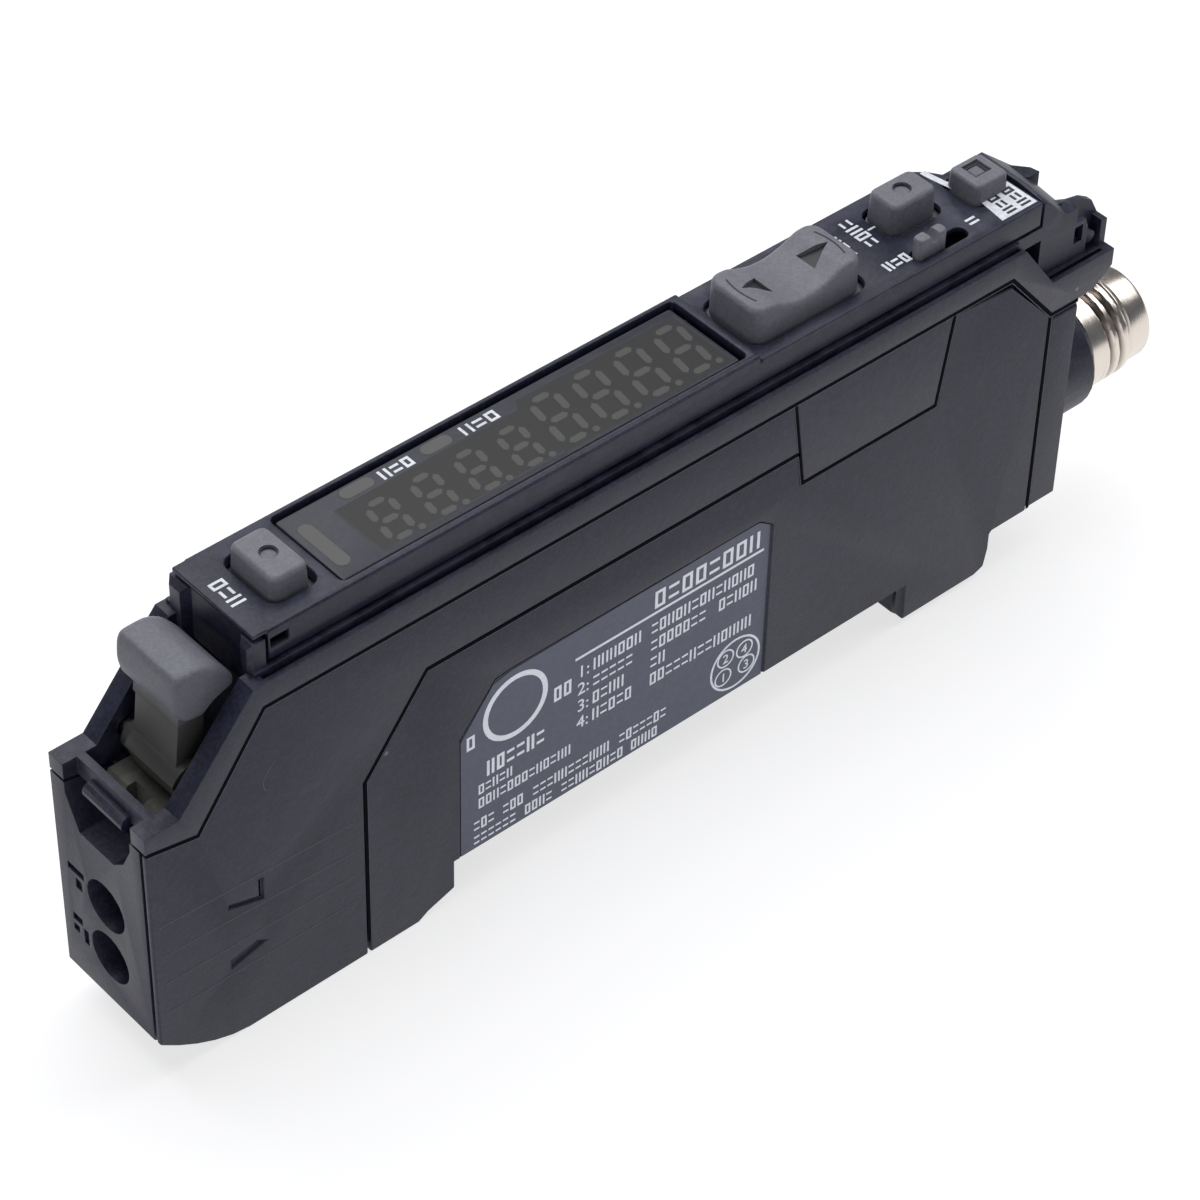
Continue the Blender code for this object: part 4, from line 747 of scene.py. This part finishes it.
# %% Lever
LEVER_CUT = 27.2
LEVER_PAD = [(4.75, 27.5), (4.25, 28.2), (4.05, 29.2), (4.15, 30.6), (4.45, 31.15), (6.3, 31.15), (7.3, 30.6),
             (8.45, 29.1), (8.45, 28.6), (7.9, 28.45), (6.8, 28.0), (6.0, 27.3)]
LEVER_NECK = [(4.52, 26.7), (6.43, 26.7), (6.5, 28.5), (4.73, 28.5)]
softened("fibre_lever", lever_finish, 0.12, [all_above(LEVER_CUT)])
round_piece("lever_pad", pillow(LEVER_PAD, -3.2, 2.85, 0.62, 3.0), lever_finish, "lever")
round_piece("lever_neck", slab(on_side(LEVER_NECK), -2.59, 1.9, "Y"), lever_finish, "lever")
print("lever cut at", LEVER_CUT)

# %% [markdown]
# **Caps.** Below the panel a button keeps its solid shape, and above it a round cap takes over. Two caps
# have a round dent and one a square pit. The rocker's top sinks to a saddle in its middle, and two
# triangles are cut into it to the same depth everywhere, so their floors follow its slope.

# %% Caps
ROCKER_TOP = 34.2
SADDLE = (56.125, 33.3, 5.52)
BLEND = 0.2
ENGRAVED = 0.26
DENT_DEPTH = 0.25
CUT_LEVEL = 31.35
CAP_BASE = 31.0
SET_DENT = (13.88, 0.28, 33.6, 0.62)
MODE_DENT = (68.23, 1.48, 33.8, 0.66)
PRESET_TOP = 33.1


def rocker_height(back):
    """The rocker's top: a soft smaller value (t + s - sqrt((t - s)^2 + k^2)) / 2 of its top t and saddle s.

    The saddle is s = low + r - sqrt(r^2 - d^2), with d the distance from its middle.
    """
    middle, low, radius = SADDLE
    away = np.asarray(back, float) - middle
    saddle = low + radius - np.sqrt(radius ** 2 - away ** 2)
    return (ROCKER_TOP + saddle - np.sqrt((ROCKER_TOP - saddle) ** 2 + BLEND ** 2)) / 2


def mark_floor(mark):
    """The floor of a mark cut into the rocker, at each of its corners."""
    return rocker_height(mark[:, 0]) - ENGRAVED


def level(top):
    """A flat height for a cap."""
    return lambda back: np.full(np.shape(back), top)


def dish(back, across, top, radius):
    """A closed disc cutter for a round dent in a cap's top."""
    return slab(circle_outline(back, across, radius), top - DENT_DEPTH, top + 1.0, "Z")


TRIANGLES = [turned_left([(54.2, -0.95), (54.2, 0.9), (52.4, 0.15)]),
             turned_left([(57.95, -0.9), (60.05, 0.1), (57.95, 0.9)])]
triangle_cuts = [slab(mark, mark_floor(mark), mark_floor(mark) + 3.0, "Z") for mark in TRIANGLES]
pit_cut = slab(box_outline((73.6, -0.25, 75.1, 1.2)), PRESET_TOP - DENT_DEPTH, PRESET_TOP + 1.0, "Z")
valley = turned_left([(34.0, 66.4), (34.0, 67.55), (32.9, 67.3), (32.5, 66.97), (32.9, 66.65)])

# Each row gives node, body, box, corner radius, height, draft, shoulder radius and cuts.
CAPS = [
    ("set_button", "set", (12.3, 15.4, -2.15, 2.65), 0.75, level(33.6), 0.14, 0.4, [dish(*SET_DENT)]),
    ("rocker_button", "rocker", (51.25, 61.0, -2.6, 2.6), 1.1, rocker_height, 0.08, 0.42, triangle_cuts),
    ("mode_button", "mode", (66.15, 70.4, -0.05, 2.95), 0.75, level(33.8), 0.12, 0.4, [dish(*MODE_DENT)]),
    ("preset_button", "preset", (72.75, 75.95, -1.35, 1.85), 0.6, level(PRESET_TOP), 0.12, 0.32, [pit_cut]),
]
for name, body, box, corner, height, draft, shoulder, cuts in CAPS:
    softened(name, button_finish, 0.06, [all_above(CUT_LEVEL)], 2)
    shape = soft_cap(box, corner, CAP_BASE, height, draft, shoulder)
    round_piece(f"{name}_cap", shape, button_finish, body, cuts)
softened("select_slider", button_finish, 0.2, [slab(valley, -4.5, -1.0, "Y")])
softened("display_window", window_finish, 0.08, segments=2)
print(len(CAPS), "caps")

# %% [markdown]
# ** Marks and painted shade on the caps.** The floors of the triangles are painted dark as their shade.
# A thin arc at each end of the rocker is inked dark, and a thin dark ring at the edge of the floor of each
# dent and of the pit is painted shade.

# %% Marks and painted shade on the caps
FILM = 0.02
# Painted shade: a dark film on the floor of each cut triangle.
ink_and_shade_films = [slab(scaled(mark, 0.97), mark_floor(mark) - FILM, mark_floor(mark) + FILM, "Z")
         for mark in TRIANGLES]
# Ink: a thin dark arc at each end of the rocker.
sweep = np.linspace(-1.0, 1.0, 11)
for back, bulge in ((60.02, 0.22), (52.16, -0.22)):
    line = np.column_stack([back + bulge * (1.0 - sweep ** 2), 1.45 * sweep])
    band = np.vstack([line, line[::-1] + (0.11, 0.0)])
    ink_and_shade_films.append(slab(turned_left(band), ROCKER_TOP - FILM, ROCKER_TOP + 0.012, "Z"))
join_shapes("rocker_marks_and_shade", ink_and_shade_films, ink_and_shade_finish, "rocker")
# Painted shade: a thin dark ring at the edge of the floor of each dent.
for name, body, dent in (("set_dent_ring", "set", SET_DENT), ("mode_dent_ring", "mode", MODE_DENT)):
    back, across, top, radius = dent
    rim = circle_outline(back, across, radius, 32)
    inner_rim = circle_outline(back, across, radius - 0.1, 32)
    join_shapes(name, [slab(rim, top - 0.2, top - 0.1, "Z", inner_rim)], ink_and_shade_finish, body)
# Painted shade: a thin dark square ring at the edge of the pit's floor.
pit = np.array(box_outline((73.68, -0.17, 75.02, 1.12)))
join_shapes("preset_pit_shade", [slab(pit, 32.84, 32.93, "Z", scaled(pit, 0.72))], ink_and_shade_finish, "preset")

# %% [markdown]
# ## Display
#
# Behind the smoked window lie two rows of digits and a few lamps, all off. Each segment is a six-sided
# film whose rim fades into the ground, so that it looks like a mark seen through the acrylic. The
# digits lean, as the digits of such displays do.

# %% Display films
GLASS = 31.85
LEAN = 0.16
POINT_RADIUS = 0.22


def faded_film(name, outlines, up, fade, finish, body):
    """Films on a level: each outline is grown by the fade, and tone falls from 1 to 0 across the growth.

    For a point p and the middle m of its outline, the outer point is m + (p - m) (1 + fade / |p - m|).
    """
    points = []
    faces = []
    tones = []
    total = 0
    for outline in outlines:
        inner = turned_left(outline)
        middle = inner.mean(axis=0)
        away = inner - middle
        outer = inner + away / np.linalg.norm(away, axis=1, keepdims=True) * fade
        count = len(inner)
        here = np.arange(count)
        after = np.roll(here, -1)
        points.append(np.vstack([inner, outer]))
        ring = np.column_stack([here + count, after + count, after, here]) + total
        faces += [(here + total).tolist(), *ring.tolist()]
        tones += [1.0] * count + [0.0] * count
        total += 2 * count
    flat = np.vstack(points)
    mesh = bpy.data.meshes.new(name)
    mesh.from_pydata(place(np.column_stack([flat, np.full(total, up)])), [], faces)
    tone = mesh.attributes.new("tone", "FLOAT", "POINT")
    tone.data.foreach_set("value", np.array(tones))
    piece = link_mesh(name, mesh, finish)
    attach(piece, body)


def digit(back, across, width, height, thick):
    """The seven segments and the point of a leaning digit, as outlines of (back, across)."""
    half = height / 2
    run = width / 2
    gap = thick * 0.62
    tip = thick / 2

    def flat_bar(level):
        return [(-run + gap, level), (-run + gap + tip, level + tip), (run - gap - tip, level + tip),
                (run - gap, level), (run - gap - tip, level - tip), (-run + gap + tip, level - tip)]

    def upright_bar(side, low, high):
        return [(side, low + gap), (side + tip, low + gap + tip), (side + tip, high - gap - tip),
                (side, high - gap), (side - tip, high - gap - tip), (side - tip, low + gap + tip)]

    bars = [flat_bar(level) for level in (-half, 0.0, half)]
    bars += [upright_bar(side, low, low + half) for side in (-run, run) for low in (-half, 0.0)]
    bars.append(circle_outline(run + thick * 0.95, -half - 0.1, POINT_RADIUS, 12))
    bars = [np.asarray(bar) for bar in bars]
    return [np.column_stack([bar[:, 0] + LEAN * bar[:, 1] + back, bar[:, 1] + across]) for bar in bars]


def lozenge(back, across, length, width):
    """A bar with round ends, as an outline of (back, across)."""
    radius = width / 2
    reach = length / 2 - radius
    first = np.linspace(-np.pi / 2, np.pi / 2, 8)
    second = first + np.pi
    right = np.column_stack([reach + radius * np.cos(first), radius * np.sin(first)])
    left = np.column_stack([-reach + radius * np.cos(second), radius * np.sin(second)])
    return np.vstack([right, left]) + (back, across)


ground = [(20.5, -2.5), (34.9, -2.5), (34.9, -2.75), (48.9, -2.75), (48.9, 2.95), (35.6, 2.95), (35.2, 2.15),
          (20.5, 2.15)]
faded_film("display_ground", [ground], GLASS + 0.006, 0.25, ground_finish, "housing")
small_digits = [bar for back in (22.6, 26.1, 29.6, 33.1) for bar in digit(back, -0.55, 1.75, 3.45, 0.46)]
large_digits = [bar for back in (36.75, 40.25, 43.75, 47.25) for bar in digit(back, 0.02, 1.95, 4.45, 0.5)]
faded_film("display_segments", small_digits + large_digits, GLASS + 0.012, 0.09, segment_finish, "housing")
lamps = [lozenge(22.75, 2.95, 2.5, 0.95), lozenge(29.1, 2.95, 2.3, 0.95)]
upright = lozenge(0.0, 0.0, 4.5, 1.05)
lamps.append(np.column_stack([-upright[:, 1] + 17.97, upright[:, 0] + 0.16]))
faded_film("display_lamps", lamps, GLASS + 0.012, 0.07, lamp_finish, "housing")
print(len(small_digits) + len(large_digits), "segments and points")

# %% [markdown]
# ## Print
#
# White ink lies on the panel and on the label. It is made of plain marks, each a pair of strokes, a
# pair of dashes or a hollow box, and of plain numbers. Each is a slab a few hundredths of a millimetre
# thick, sunk a little into what it lies on.

# %% Ink tools
INK = 0.02
SUNK = 0.01
chance = np.random.default_rng(7)


def mark_strokes(width, height, stroke, kind):
    """The strokes of one plain mark, as boxes (left, low, right, high) in its own field."""
    if kind == 0:
        return [(0, 0, stroke, height), (width - stroke, 0, width, height)]
    if kind == 1:
        low, high = height * 0.12, height * 0.88
        return [(0, low, width, low + stroke), (0, high - stroke, width, high)]
    return [(0, 0, stroke, height), (width - stroke, 0, width, height), (stroke, 0, width - stroke, stroke),
            (stroke, height - stroke, width - stroke, height)]


def mark_row(start, low, length, height, pitch, stroke):
    """A row of plain marks from a start to a length, each of a random kind; gives boxes."""
    boxes = []
    width = pitch * 0.74
    for number in range(int(length / pitch)):
        left = start + number * pitch
        for a, b, c, d in mark_strokes(width, height, stroke, int(chance.integers(0, 3))):
            boxes.append((left + a, low + b, left + c, low + d))
    return boxes


def number_shapes(text, left, low, size, level):
    """Plain numbers on the near side, from the built-in typeface made into a mesh: (points, faces)."""
    curve = bpy.data.curves.new("numbers", "FONT")
    curve.body = text
    curve.size = size
    curve.extrude = INK / 2
    carrier = add_object("numbers", curve)
    solid = bpy.data.meshes.new_from_object(carrier.evaluated_get(bpy.context.evaluated_depsgraph_get()))
    flat = np.empty(len(solid.vertices) * 3)
    solid.vertices.foreach_get("co", flat)
    flat = flat.reshape(-1, 3)
    faces = [list(face.vertices) for face in solid.polygons]
    bpy.data.objects.remove(carrier)
    bpy.data.curves.remove(curve)
    bpy.data.meshes.remove(solid)
    points = np.column_stack([left + flat[:, 0], level - flat[:, 2], low + flat[:, 1]])
    return place(points), faces


print("ink", INK, "mm thick")

# %% [markdown]
# **Panel.** White marks lie by each button, and a white field with a curved band frames the last one.

# %% Print on the panel
REAR_TOP = 31.7
FRONT_TOP = 32.12
PANEL_STROKE = 0.2


def panel_slab(outline, level):
    """A film of ink on an outline of (back, across), at a level of the panel."""
    return slab(outline, level - SUNK, level + INK, "Z")


def panel_marks(back, across, count, level, turned=False):
    """Marks side by side in a field, by its limits back and across: along the length, or turned across it."""
    (start, end), (low, high) = (across, back) if turned else (back, across)
    step = (end - start) / count
    films = []
    for number in range(count):
        left = start + number * step
        for a, b, c, d in mark_strokes(step * 0.76, high - low, PANEL_STROKE, (number + count) % 3):
            box = (low + b, left + a, low + d, left + c) if turned else (left + a, low + b, left + c, low + d)
            films.append(panel_slab(box_outline(box), level))
    return films


WHITE_FIELDS = [
    ((10.15, 11.25), (-0.95, 1.75), 3, FRONT_TOP, True),
    ((24.55, 27.25), (2.4, 3.3), 3, GLASS),
    ((31.1, 34.2), (2.4, 3.3), 3, GLASS),
    ((62.1, 63.1), (0.1, 3.4), 4, REAR_TOP, True),
    ((64.0, 65.1), (0.1, 3.4), 4, REAR_TOP, True),
    ((63.3, 65.6), (-2.65, -1.75), 3, REAR_TOP),
    ((70.95, 72.1), (-2.65, -1.8), 1, REAR_TOP),
]
panel_ink = [film for field in WHITE_FIELDS for film in panel_marks(*field)]
panel_ink.append(panel_slab(box_outline((65.25, 1.4, 65.9, 1.55)), REAR_TOP))
bend = np.linspace(0.0, 1.0, 13)
outer_band = np.column_stack([72.35 + 1.0 * bend ** 1.5, 3.75 - 4.45 * bend])
inner_band = np.column_stack([72.85 + 1.05 * bend ** 1.5, 3.75 - 4.45 * bend])
frame_field = np.vstack([outer_band, [(72.95, -3.55), (76.3, -3.55), (76.3, -0.7)], inner_band[::-1]])
panel_ink.append(panel_slab(turned_left(frame_field), REAR_TOP))
join_shapes("panel_print", panel_ink, print_finish, "housing")
dark_ink = panel_marks((73.75, 74.65), (-3.3, -0.95), 3, REAR_TOP + INK, True)
dark_ink += panel_marks((75.1, 76.0), (-3.3, -0.95), 3, REAR_TOP + INK, True)
join_shapes("panel_print_dark", dark_ink, ink_and_shade_finish, "housing")
print(len(panel_ink), "shapes of white ink")

# %% [markdown]
# **Label.** The recessed field on the near side is a paler grey. It carries a plain ring, an underline,
# four numbered rows, several rows of marks, and the plan of the plug's four contacts.

# %% Label
SIDE = -4.9
LABEL_FLOOR = SIDE + 0.15
PRINT_FLOOR = LABEL_FLOOR - INK
PRINT_MIDDLE = PRINT_FLOOR - INK / 2
label_outline = [(24.6, 3.65), (51.5, 3.65), (51.5, 17.5), (50.4, 18.3), (28.9, 18.1), (27.3, 17.75),
                 (24.6, 14.2)]
field = slab(on_side(label_outline), PRINT_FLOOR, LABEL_FLOOR + 0.05, "Y")
join_shapes("label_field", [field], label_finish, "housing")

# Each line gives its foot, the height, pitch and stroke of its marks, and (start, length) of each row on it.
LABEL_LINES = [
    (16.0, 1.5, 1.21, 0.24, [(41.2, 9.8)]),
    (13.75, 1.05, 0.72, 0.15, [(35.9, 4.6), (41.0, 9.9)]),
    (12.2, 1.05, 0.72, 0.15, [(35.9, 4.0), (41.0, 5.2), (47.1, 3.7)]),
    (10.65, 1.05, 0.72, 0.15, [(35.9, 3.2), (41.0, 1.5)]),
    (9.1, 1.05, 0.72, 0.15, [(35.9, 4.2), (41.0, 9.6)]),
    (13.1, 1.2, 0.9, 0.2, [(25.1, 0.9)]),
    (12.9, 1.25, 0.85, 0.2, [(32.5, 1.7)]),
    (9.8, 1.35, 0.85, 0.22, [(26.8, 5.1)]),
    (8.5, 0.85, 0.6, 0.13, [(26.1, 3.0)]),
    (7.2, 0.9, 0.62, 0.13, [(26.1, 8.4)]),
    (5.25, 0.95, 0.62, 0.14, [(25.7, 2.0), (28.2, 2.0), (30.8, 7.0), (38.4, 4.9)]),
    (3.95, 0.9, 0.62, 0.14, [(25.7, 3.8), (30.1, 2.6), (33.3, 5.6), (39.5, 2.6)]),
]
white_boxes = [(34.3, 15.5, 51.0, 15.7)]
for foot, height, pitch, stroke, rows in LABEL_LINES:
    for start, length in rows:
        white_boxes += mark_row(start, foot, length, height, pitch, stroke)
outlines = [on_side(box_outline(box)) for box in white_boxes]
label_ink = [slab(outline, PRINT_FLOOR - INK, PRINT_FLOOR + SUNK, "Y") for outline in outlines]

# The ring, the outline of the plug and its four contacts: back, up, radius, stroke.
RINGS = [(29.2, 14.75, 2.75, 0.42), (48.93, 6.3, 2.3, 0.17), (47.85, 5.55, 0.78, 0.12),
         (48.0, 7.25, 0.78, 0.12), (49.75, 7.15, 0.78, 0.12), (50.0, 5.6, 0.78, 0.12)]
for back, up, radius, stroke in RINGS:
    rim = on_side(circle_outline(back, up, radius))
    inner_rim = on_side(circle_outline(back, up, radius - stroke))
    label_ink.append(slab(rim, PRINT_FLOOR - INK, PRINT_FLOOR + SUNK, "Y", inner_rim))
for foot, text in ((13.75, "1:"), (12.2, "2:"), (10.65, "3:"), (9.1, "4:")):
    label_ink.append(number_shapes(text, 34.5, foot, 1.5, PRINT_MIDDLE))
for text, back, up in (("1", 47.6, 5.12), ("2", 47.72, 6.84), ("4", 49.45, 6.74), ("3", 49.7, 5.18)):
    label_ink.append(number_shapes(text, back, up, 1.15, PRINT_MIDDLE))
join_shapes("label_print", label_ink, label_print_finish, "housing")
print(len(label_ink), "shapes of ink on the label")

# %% [markdown]
# ## Finishes of the solids that stay
#
# Inner pieces and small round ones keep their solid shape, and only their finish changes.

# %% Finishes of the other solids
FINISH_OF = {
    "fibre_clamp": shaded_clamp_finish,
    "lever_pin": steel_finish,
    "front_board": board_finish,
    "main_board": board_finish,
    "emitter_element": lens_finish,
    "receiver_element": lens_finish,
}
for name, item in nodes.items():
    finish = FINISH_OF.get(name)
    if finish is None:
        finish = gold_finish if name.startswith("contact_pin") else inner_finish
    if not item.hide_render:
        item.data.materials.clear()
        item.data.materials.append(finish)
print("finished", len(nodes))

# %% [markdown]
# ## Springs
#
# Each spring stands between the housing and a piece that slides. Here it is a copy of its solid with
# smooth shading and a steel finish, in place of the solid.

# %% Springs
for name, body, axis in (("claw_spring", "claw", 0), ("clamp_spring", "clamp", 2)):
    low, high = (np.array(corner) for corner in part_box(name))
    start = (low + high) / 2
    end = start.copy()
    start[axis] = low[axis]
    end[axis] = high[axis]
    piece = merged_copy(name, f"{name}_turns", steel_finish)
    piece.data.shade_smooth()
    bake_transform(piece)
    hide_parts(name)

# %% [markdown]
# ## Joints between the covers
#
# The covers meet in narrow joints with a rounded lip on each side. From a little way off the shade in such
# a joint is a black line, and the lip below it, which faces up to the light, is a thin pale one. Both are
# ribbons of painted light: a painted shadow in the joint and a painted highlight on the lip. The path of
# the joint is shifted along its left normal to each side, with mitred corners.

# %% Painted joint shadows and highlights
SHADOW_PROUD = 0.008
LINE_PROUD = 0.006


def ribbon(path, width, shift=0.0):
    """The outline of a band along a path: p + n (shift +- width / 2), n the mean normal over its cosine.

    The cosine is that of the angle between the mean normal and the normal of the next line.
    """
    path = np.asarray(path, float)
    along = np.diff(path, axis=0)
    along /= np.linalg.norm(along, axis=1, keepdims=True)
    normal = np.column_stack([-along[:, 1], along[:, 0]])
    before = np.vstack([normal[:1], normal])
    behind = np.vstack([normal, normal[-1:]])
    mean = before + behind
    mean /= np.linalg.norm(mean, axis=1, keepdims=True)
    mean /= np.sum(mean * behind, axis=1, keepdims=True)
    return np.vstack([path + mean * (shift + width / 2), (path + mean * (shift - width / 2))[::-1]])


def side_slab(outline, proud):
    """A film on an outline of (back, up), which stands a little proud of the near side."""
    return slab(on_side(outline), SIDE - proud, SIDE + 0.02, "Y")


JOINT_PATHS = [
    ([(0.1, 20.44), (3.93, 19.68), (9.32, 27.17), (73.16, 27.17), (77.58, 21.9), (80.3, 21.9)], 0.11, 0.30),
    ([(16.73, 1.2), (16.73, 15.91), (21.81, 22.62), (53.7, 22.62)], 0.0, 0.27),
    ([(53.02, 27.1), (54.12, 19.76), (66.6, 19.76), (67.7, 27.1)], 0.0, 0.25),
    ([(77.58, 4.1), (77.58, 21.8)], 0.0, 0.26),
]
shadow_bands = []
highlight_bands = []
# Painted shadow along each joint, and a painted highlight on the lip below it.
for path, shift, width in JOINT_PATHS:
    shadow_bands.append(side_slab(ribbon(path, width, shift), SHADOW_PROUD))
    highlight_bands.append(side_slab(ribbon(path, 0.05, shift - width / 2 - 0.03), SHADOW_PROUD))
join_shapes("joint_shadows", shadow_bands, shadow_finish, "housing")
join_shapes("joint_highlights", highlight_bands, highlight_and_scratch_finish, "housing")

# %% [markdown]
# ## Scribed guide lines
#
# Four fine lines run back from the fibre holes over the nose cover: they show how far a fibre goes in.
# Each is a hair-thin dark strip with a paler one under it, a painted shade and a painted highlight for
# the two walls of a fine groove. One short curved scratch above them is a pale strip too.

# %% Scribed lines as painted shade and highlight
groove_shade_lines = []
highlight_and_scratch_lines = []
for front_up, rear_up in ((13.9, 13.0), (11.2, 10.35), (8.65, 8.2), (6.0, 5.75)):
    # A dark strip of painted shade for one wall of each groove and, under it, a pale strip of painted
    # highlight for the other.
    for shift, width, target in ((0.0, 0.055, groove_shade_lines), (-0.055, 0.045, highlight_and_scratch_lines)):
        top = [(0.6, front_up + shift), (15.7, rear_up + shift)]
        foot = [(15.7, rear_up + shift - width), (0.6, front_up + shift - width)]
        target.append(side_slab(top + foot, LINE_PROUD))
join_shapes("scribed_painted_shade", groove_shade_lines, ink_and_shade_finish, "housing")
# A short curved scratch, pale of its own.
turn = np.linspace(0, 1, 9)
scratch = np.column_stack([9.9 - 1.0 * np.sin(turn * 2.2), 22.4 - 2.1 * turn])
highlight_and_scratch_lines.append(side_slab(ribbon(scratch, 0.05), LINE_PROUD))
join_shapes("scribed_highlight_and_scratch", highlight_and_scratch_lines, highlight_and_scratch_finish, "housing")
print(len(groove_shade_lines), "guide lines")

# %% [markdown]
# ## Plug sleeve
#
# The sleeve is turned on a lathe, so it is a profile run round an axis. The thread is the one thing that
# is not the same all round: its valley moves back by one pitch in a turn. So the radius is a function
# of both the place along the axis and the angle.

# %% Plug sleeve
PLUG_UP = 12.8
THREAD = 4.0
PITCH = 0.98
VALLEY_DEPTH = 0.42
TURN_COUNT = 192


def plug_sleeve():
    """Surface r(x, angle) = r0(x) - depth w(x) v(u): u is the place within the pitch, v a rounded valley."""
    stations = [(79.0, 2.9), (79.0, 3.35), (84.15, 3.35), (84.15, 3.85), (84.3, THREAD), (85.4, THREAD)]
    stations += [(back, THREAD) for back in np.arange(85.45, 88.0, 0.05)]
    stations += [(88.02, THREAD), (88.1, 3.93), (88.14, 3.4), (88.36, 3.4), (88.4, 3.6), (88.52, 3.7),
                 (90.2, 3.7), (90.42, 3.62), (90.5, 3.45), (90.5, 3.2), (90.42, 3.1), (90.3, 3.05),
                 (84.0, 3.05), (84.0, 2.9)]
    profile = np.array(stations)
    angle = np.linspace(0, 2 * np.pi, TURN_COUNT + 1)[:-1]
    back, turn = np.meshgrid(profile[:, 0], angle, indexing="ij")
    radius = np.repeat(profile[:, 1:2], TURN_COUNT, axis=1)
    phase = (back - 85.75 - turn / (2 * np.pi) * PITCH) / PITCH
    part = np.abs(phase - np.round(phase)) * 2
    valley = np.clip(1.0 - part / 0.62, 0.0, 1.0) ** 0.8
    window = np.clip((back - 85.45) / 0.25, 0, 1) * np.clip((87.95 - back) / 0.2, 0, 1)
    on_thread = (back > 85.42) & (back < 88.0) & (radius > 3.95)
    dip = np.where(on_thread, valley * window, 0.0)
    radius = radius - VALLEY_DEPTH * dip
    across = radius * np.cos(turn)
    up = PLUG_UP + radius * np.sin(turn)
    points = place(np.column_stack([back.ravel(), across.ravel(), up.ravel()]))
    rows, columns = back.shape
    index = np.arange(rows * columns).reshape(rows, columns)
    lower = np.roll(index, -1, axis=0)
    corners = [index, lower, np.roll(lower, -1, axis=1), np.roll(index, -1, axis=1)]
    quads = np.stack(corners, axis=-1).reshape(-1, 4)
    mesh = bpy.data.meshes.new("plug_sleeve_turned")
    mesh.from_pydata(points, [], quads.tolist())
    depth = mesh.attributes.new("depth", "FLOAT", "POINT")
    in_groove = (np.abs(back - 88.25) < 0.13) & (radius < 3.5) & (radius > 3.3)
    depth.data.foreach_set("value", np.where(in_groove, 0.8, dip).ravel())
    mesh.shade_smooth()
    mesh.set_sharp_from_angle(angle=math.radians(35.0))
    piece = link_mesh("plug_sleeve_turned", mesh, nickel_finish)
    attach(piece, "housing")
    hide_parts("plug_sleeve")
    return piece


print(len(plug_sleeve().data.vertices), "points")

# %% [markdown]
# ## Studio
#
# A plain pale floor, a broad soft lamp overhead and four weaker ones round the object. The floor looks
# white to the camera and in reflections, and still takes the object's soft shadow. The surroundings are
# pale to the camera and dim as a light.

# %% Lamps and surroundings
OBJECT_MIDDLE = (0, 0, 0.015)
SKY_LIGHT = 0.14
SKY_SEEN = 0.90


def soft_lamp(name, where, size, power, target=OBJECT_MIDDLE):
    """A square area lamp at a point in metres, turned to face the target."""
    data = bpy.data.lights.new(name, "AREA")
    data.shape = "SQUARE"
    data.size = size
    data.energy = power
    lamp = add_object(name, data)
    lamp.location = where
    lamp.rotation_euler = (Vector(target) - Vector(where)).to_track_quat("-Z", "Y").to_euler()


soft_lamp("overhead", (0.05, 0.25, 0.70), 0.70, 4.2)
soft_lamp("near_side", (-0.25, -0.70, 0.30), 0.50, 0.75)
soft_lamp("nose_side", (-0.70, -0.05, 0.25), 0.40, 0.7)
soft_lamp("rear_side", (0.50, -0.05, 0.50), 0.45, 1.3, (0.03, 0, 0.015))
soft_lamp("far_side", (0.25, 0.70, 0.30), 0.50, 0.9)

world = bpy.data.worlds.new("studio")
bpy.context.scene.world = world
world.use_nodes = True
tree = world.node_tree
background = tree.nodes["Background"]
background.inputs["Color"].default_value = (0.84, 0.90, 1.0, 1.0)
direct = tree.nodes.new("ShaderNodeLightPath").outputs["Is Camera Ray"]
strength = math_node(tree, "ADD", math_node(tree, "MULTIPLY", direct, SKY_SEEN), SKY_LIGHT)
tree.links.new(strength, background.inputs["Strength"])
print(len(bpy.data.lights), "lamps")

# %% [markdown]
# **Floor.** Its own glow counts only for rays that come from the camera, from a reflection or through
# clear matter. For all other rays it is a plain grey floor.

# %% Floor
FLOOR_REACH = 6
FLOOR_GLOW = 0.70
floor_corners = box_outline((-FLOOR_REACH, -FLOOR_REACH, FLOOR_REACH, FLOOR_REACH))
floor_mesh = bpy.data.meshes.new("floor")
floor_mesh.from_pydata([(*corner, 0) for corner in floor_corners], [], [(0, 1, 2, 3)])
floor_finish, tree, surface = new_finish("floor_white")
floor = link_mesh("floor", floor_mesh, floor_finish)
surface.inputs["Base Color"].default_value = (0.40, 0.40, 0.41, 1.0)
surface.inputs["Roughness"].default_value = 0.9
paths = tree.nodes.new("ShaderNodeLightPath")
glow = tree.nodes.new("ShaderNodeEmission")
glow.inputs["Strength"].default_value = FLOOR_GLOW
seen = math_node(tree, "MAXIMUM", paths.outputs["Is Camera Ray"], paths.outputs["Is Glossy Ray"])
seen = math_node(tree, "MAXIMUM", seen, paths.outputs["Is Transmission Ray"])
mixed = tree.nodes.new("ShaderNodeAddShader")
gate = tree.nodes.new("ShaderNodeMixShader")
tree.links.new(surface.outputs[0], mixed.inputs[0])
tree.links.new(glow.outputs[0], mixed.inputs[1])
tree.links.new(seen, gate.inputs[0])
tree.links.new(surface.outputs[0], gate.inputs[1])
tree.links.new(mixed.outputs[0], gate.inputs[2])
tree.links.new(gate.outputs[0], tree.nodes["Material Output"].inputs["Surface"])
print("studio ready")
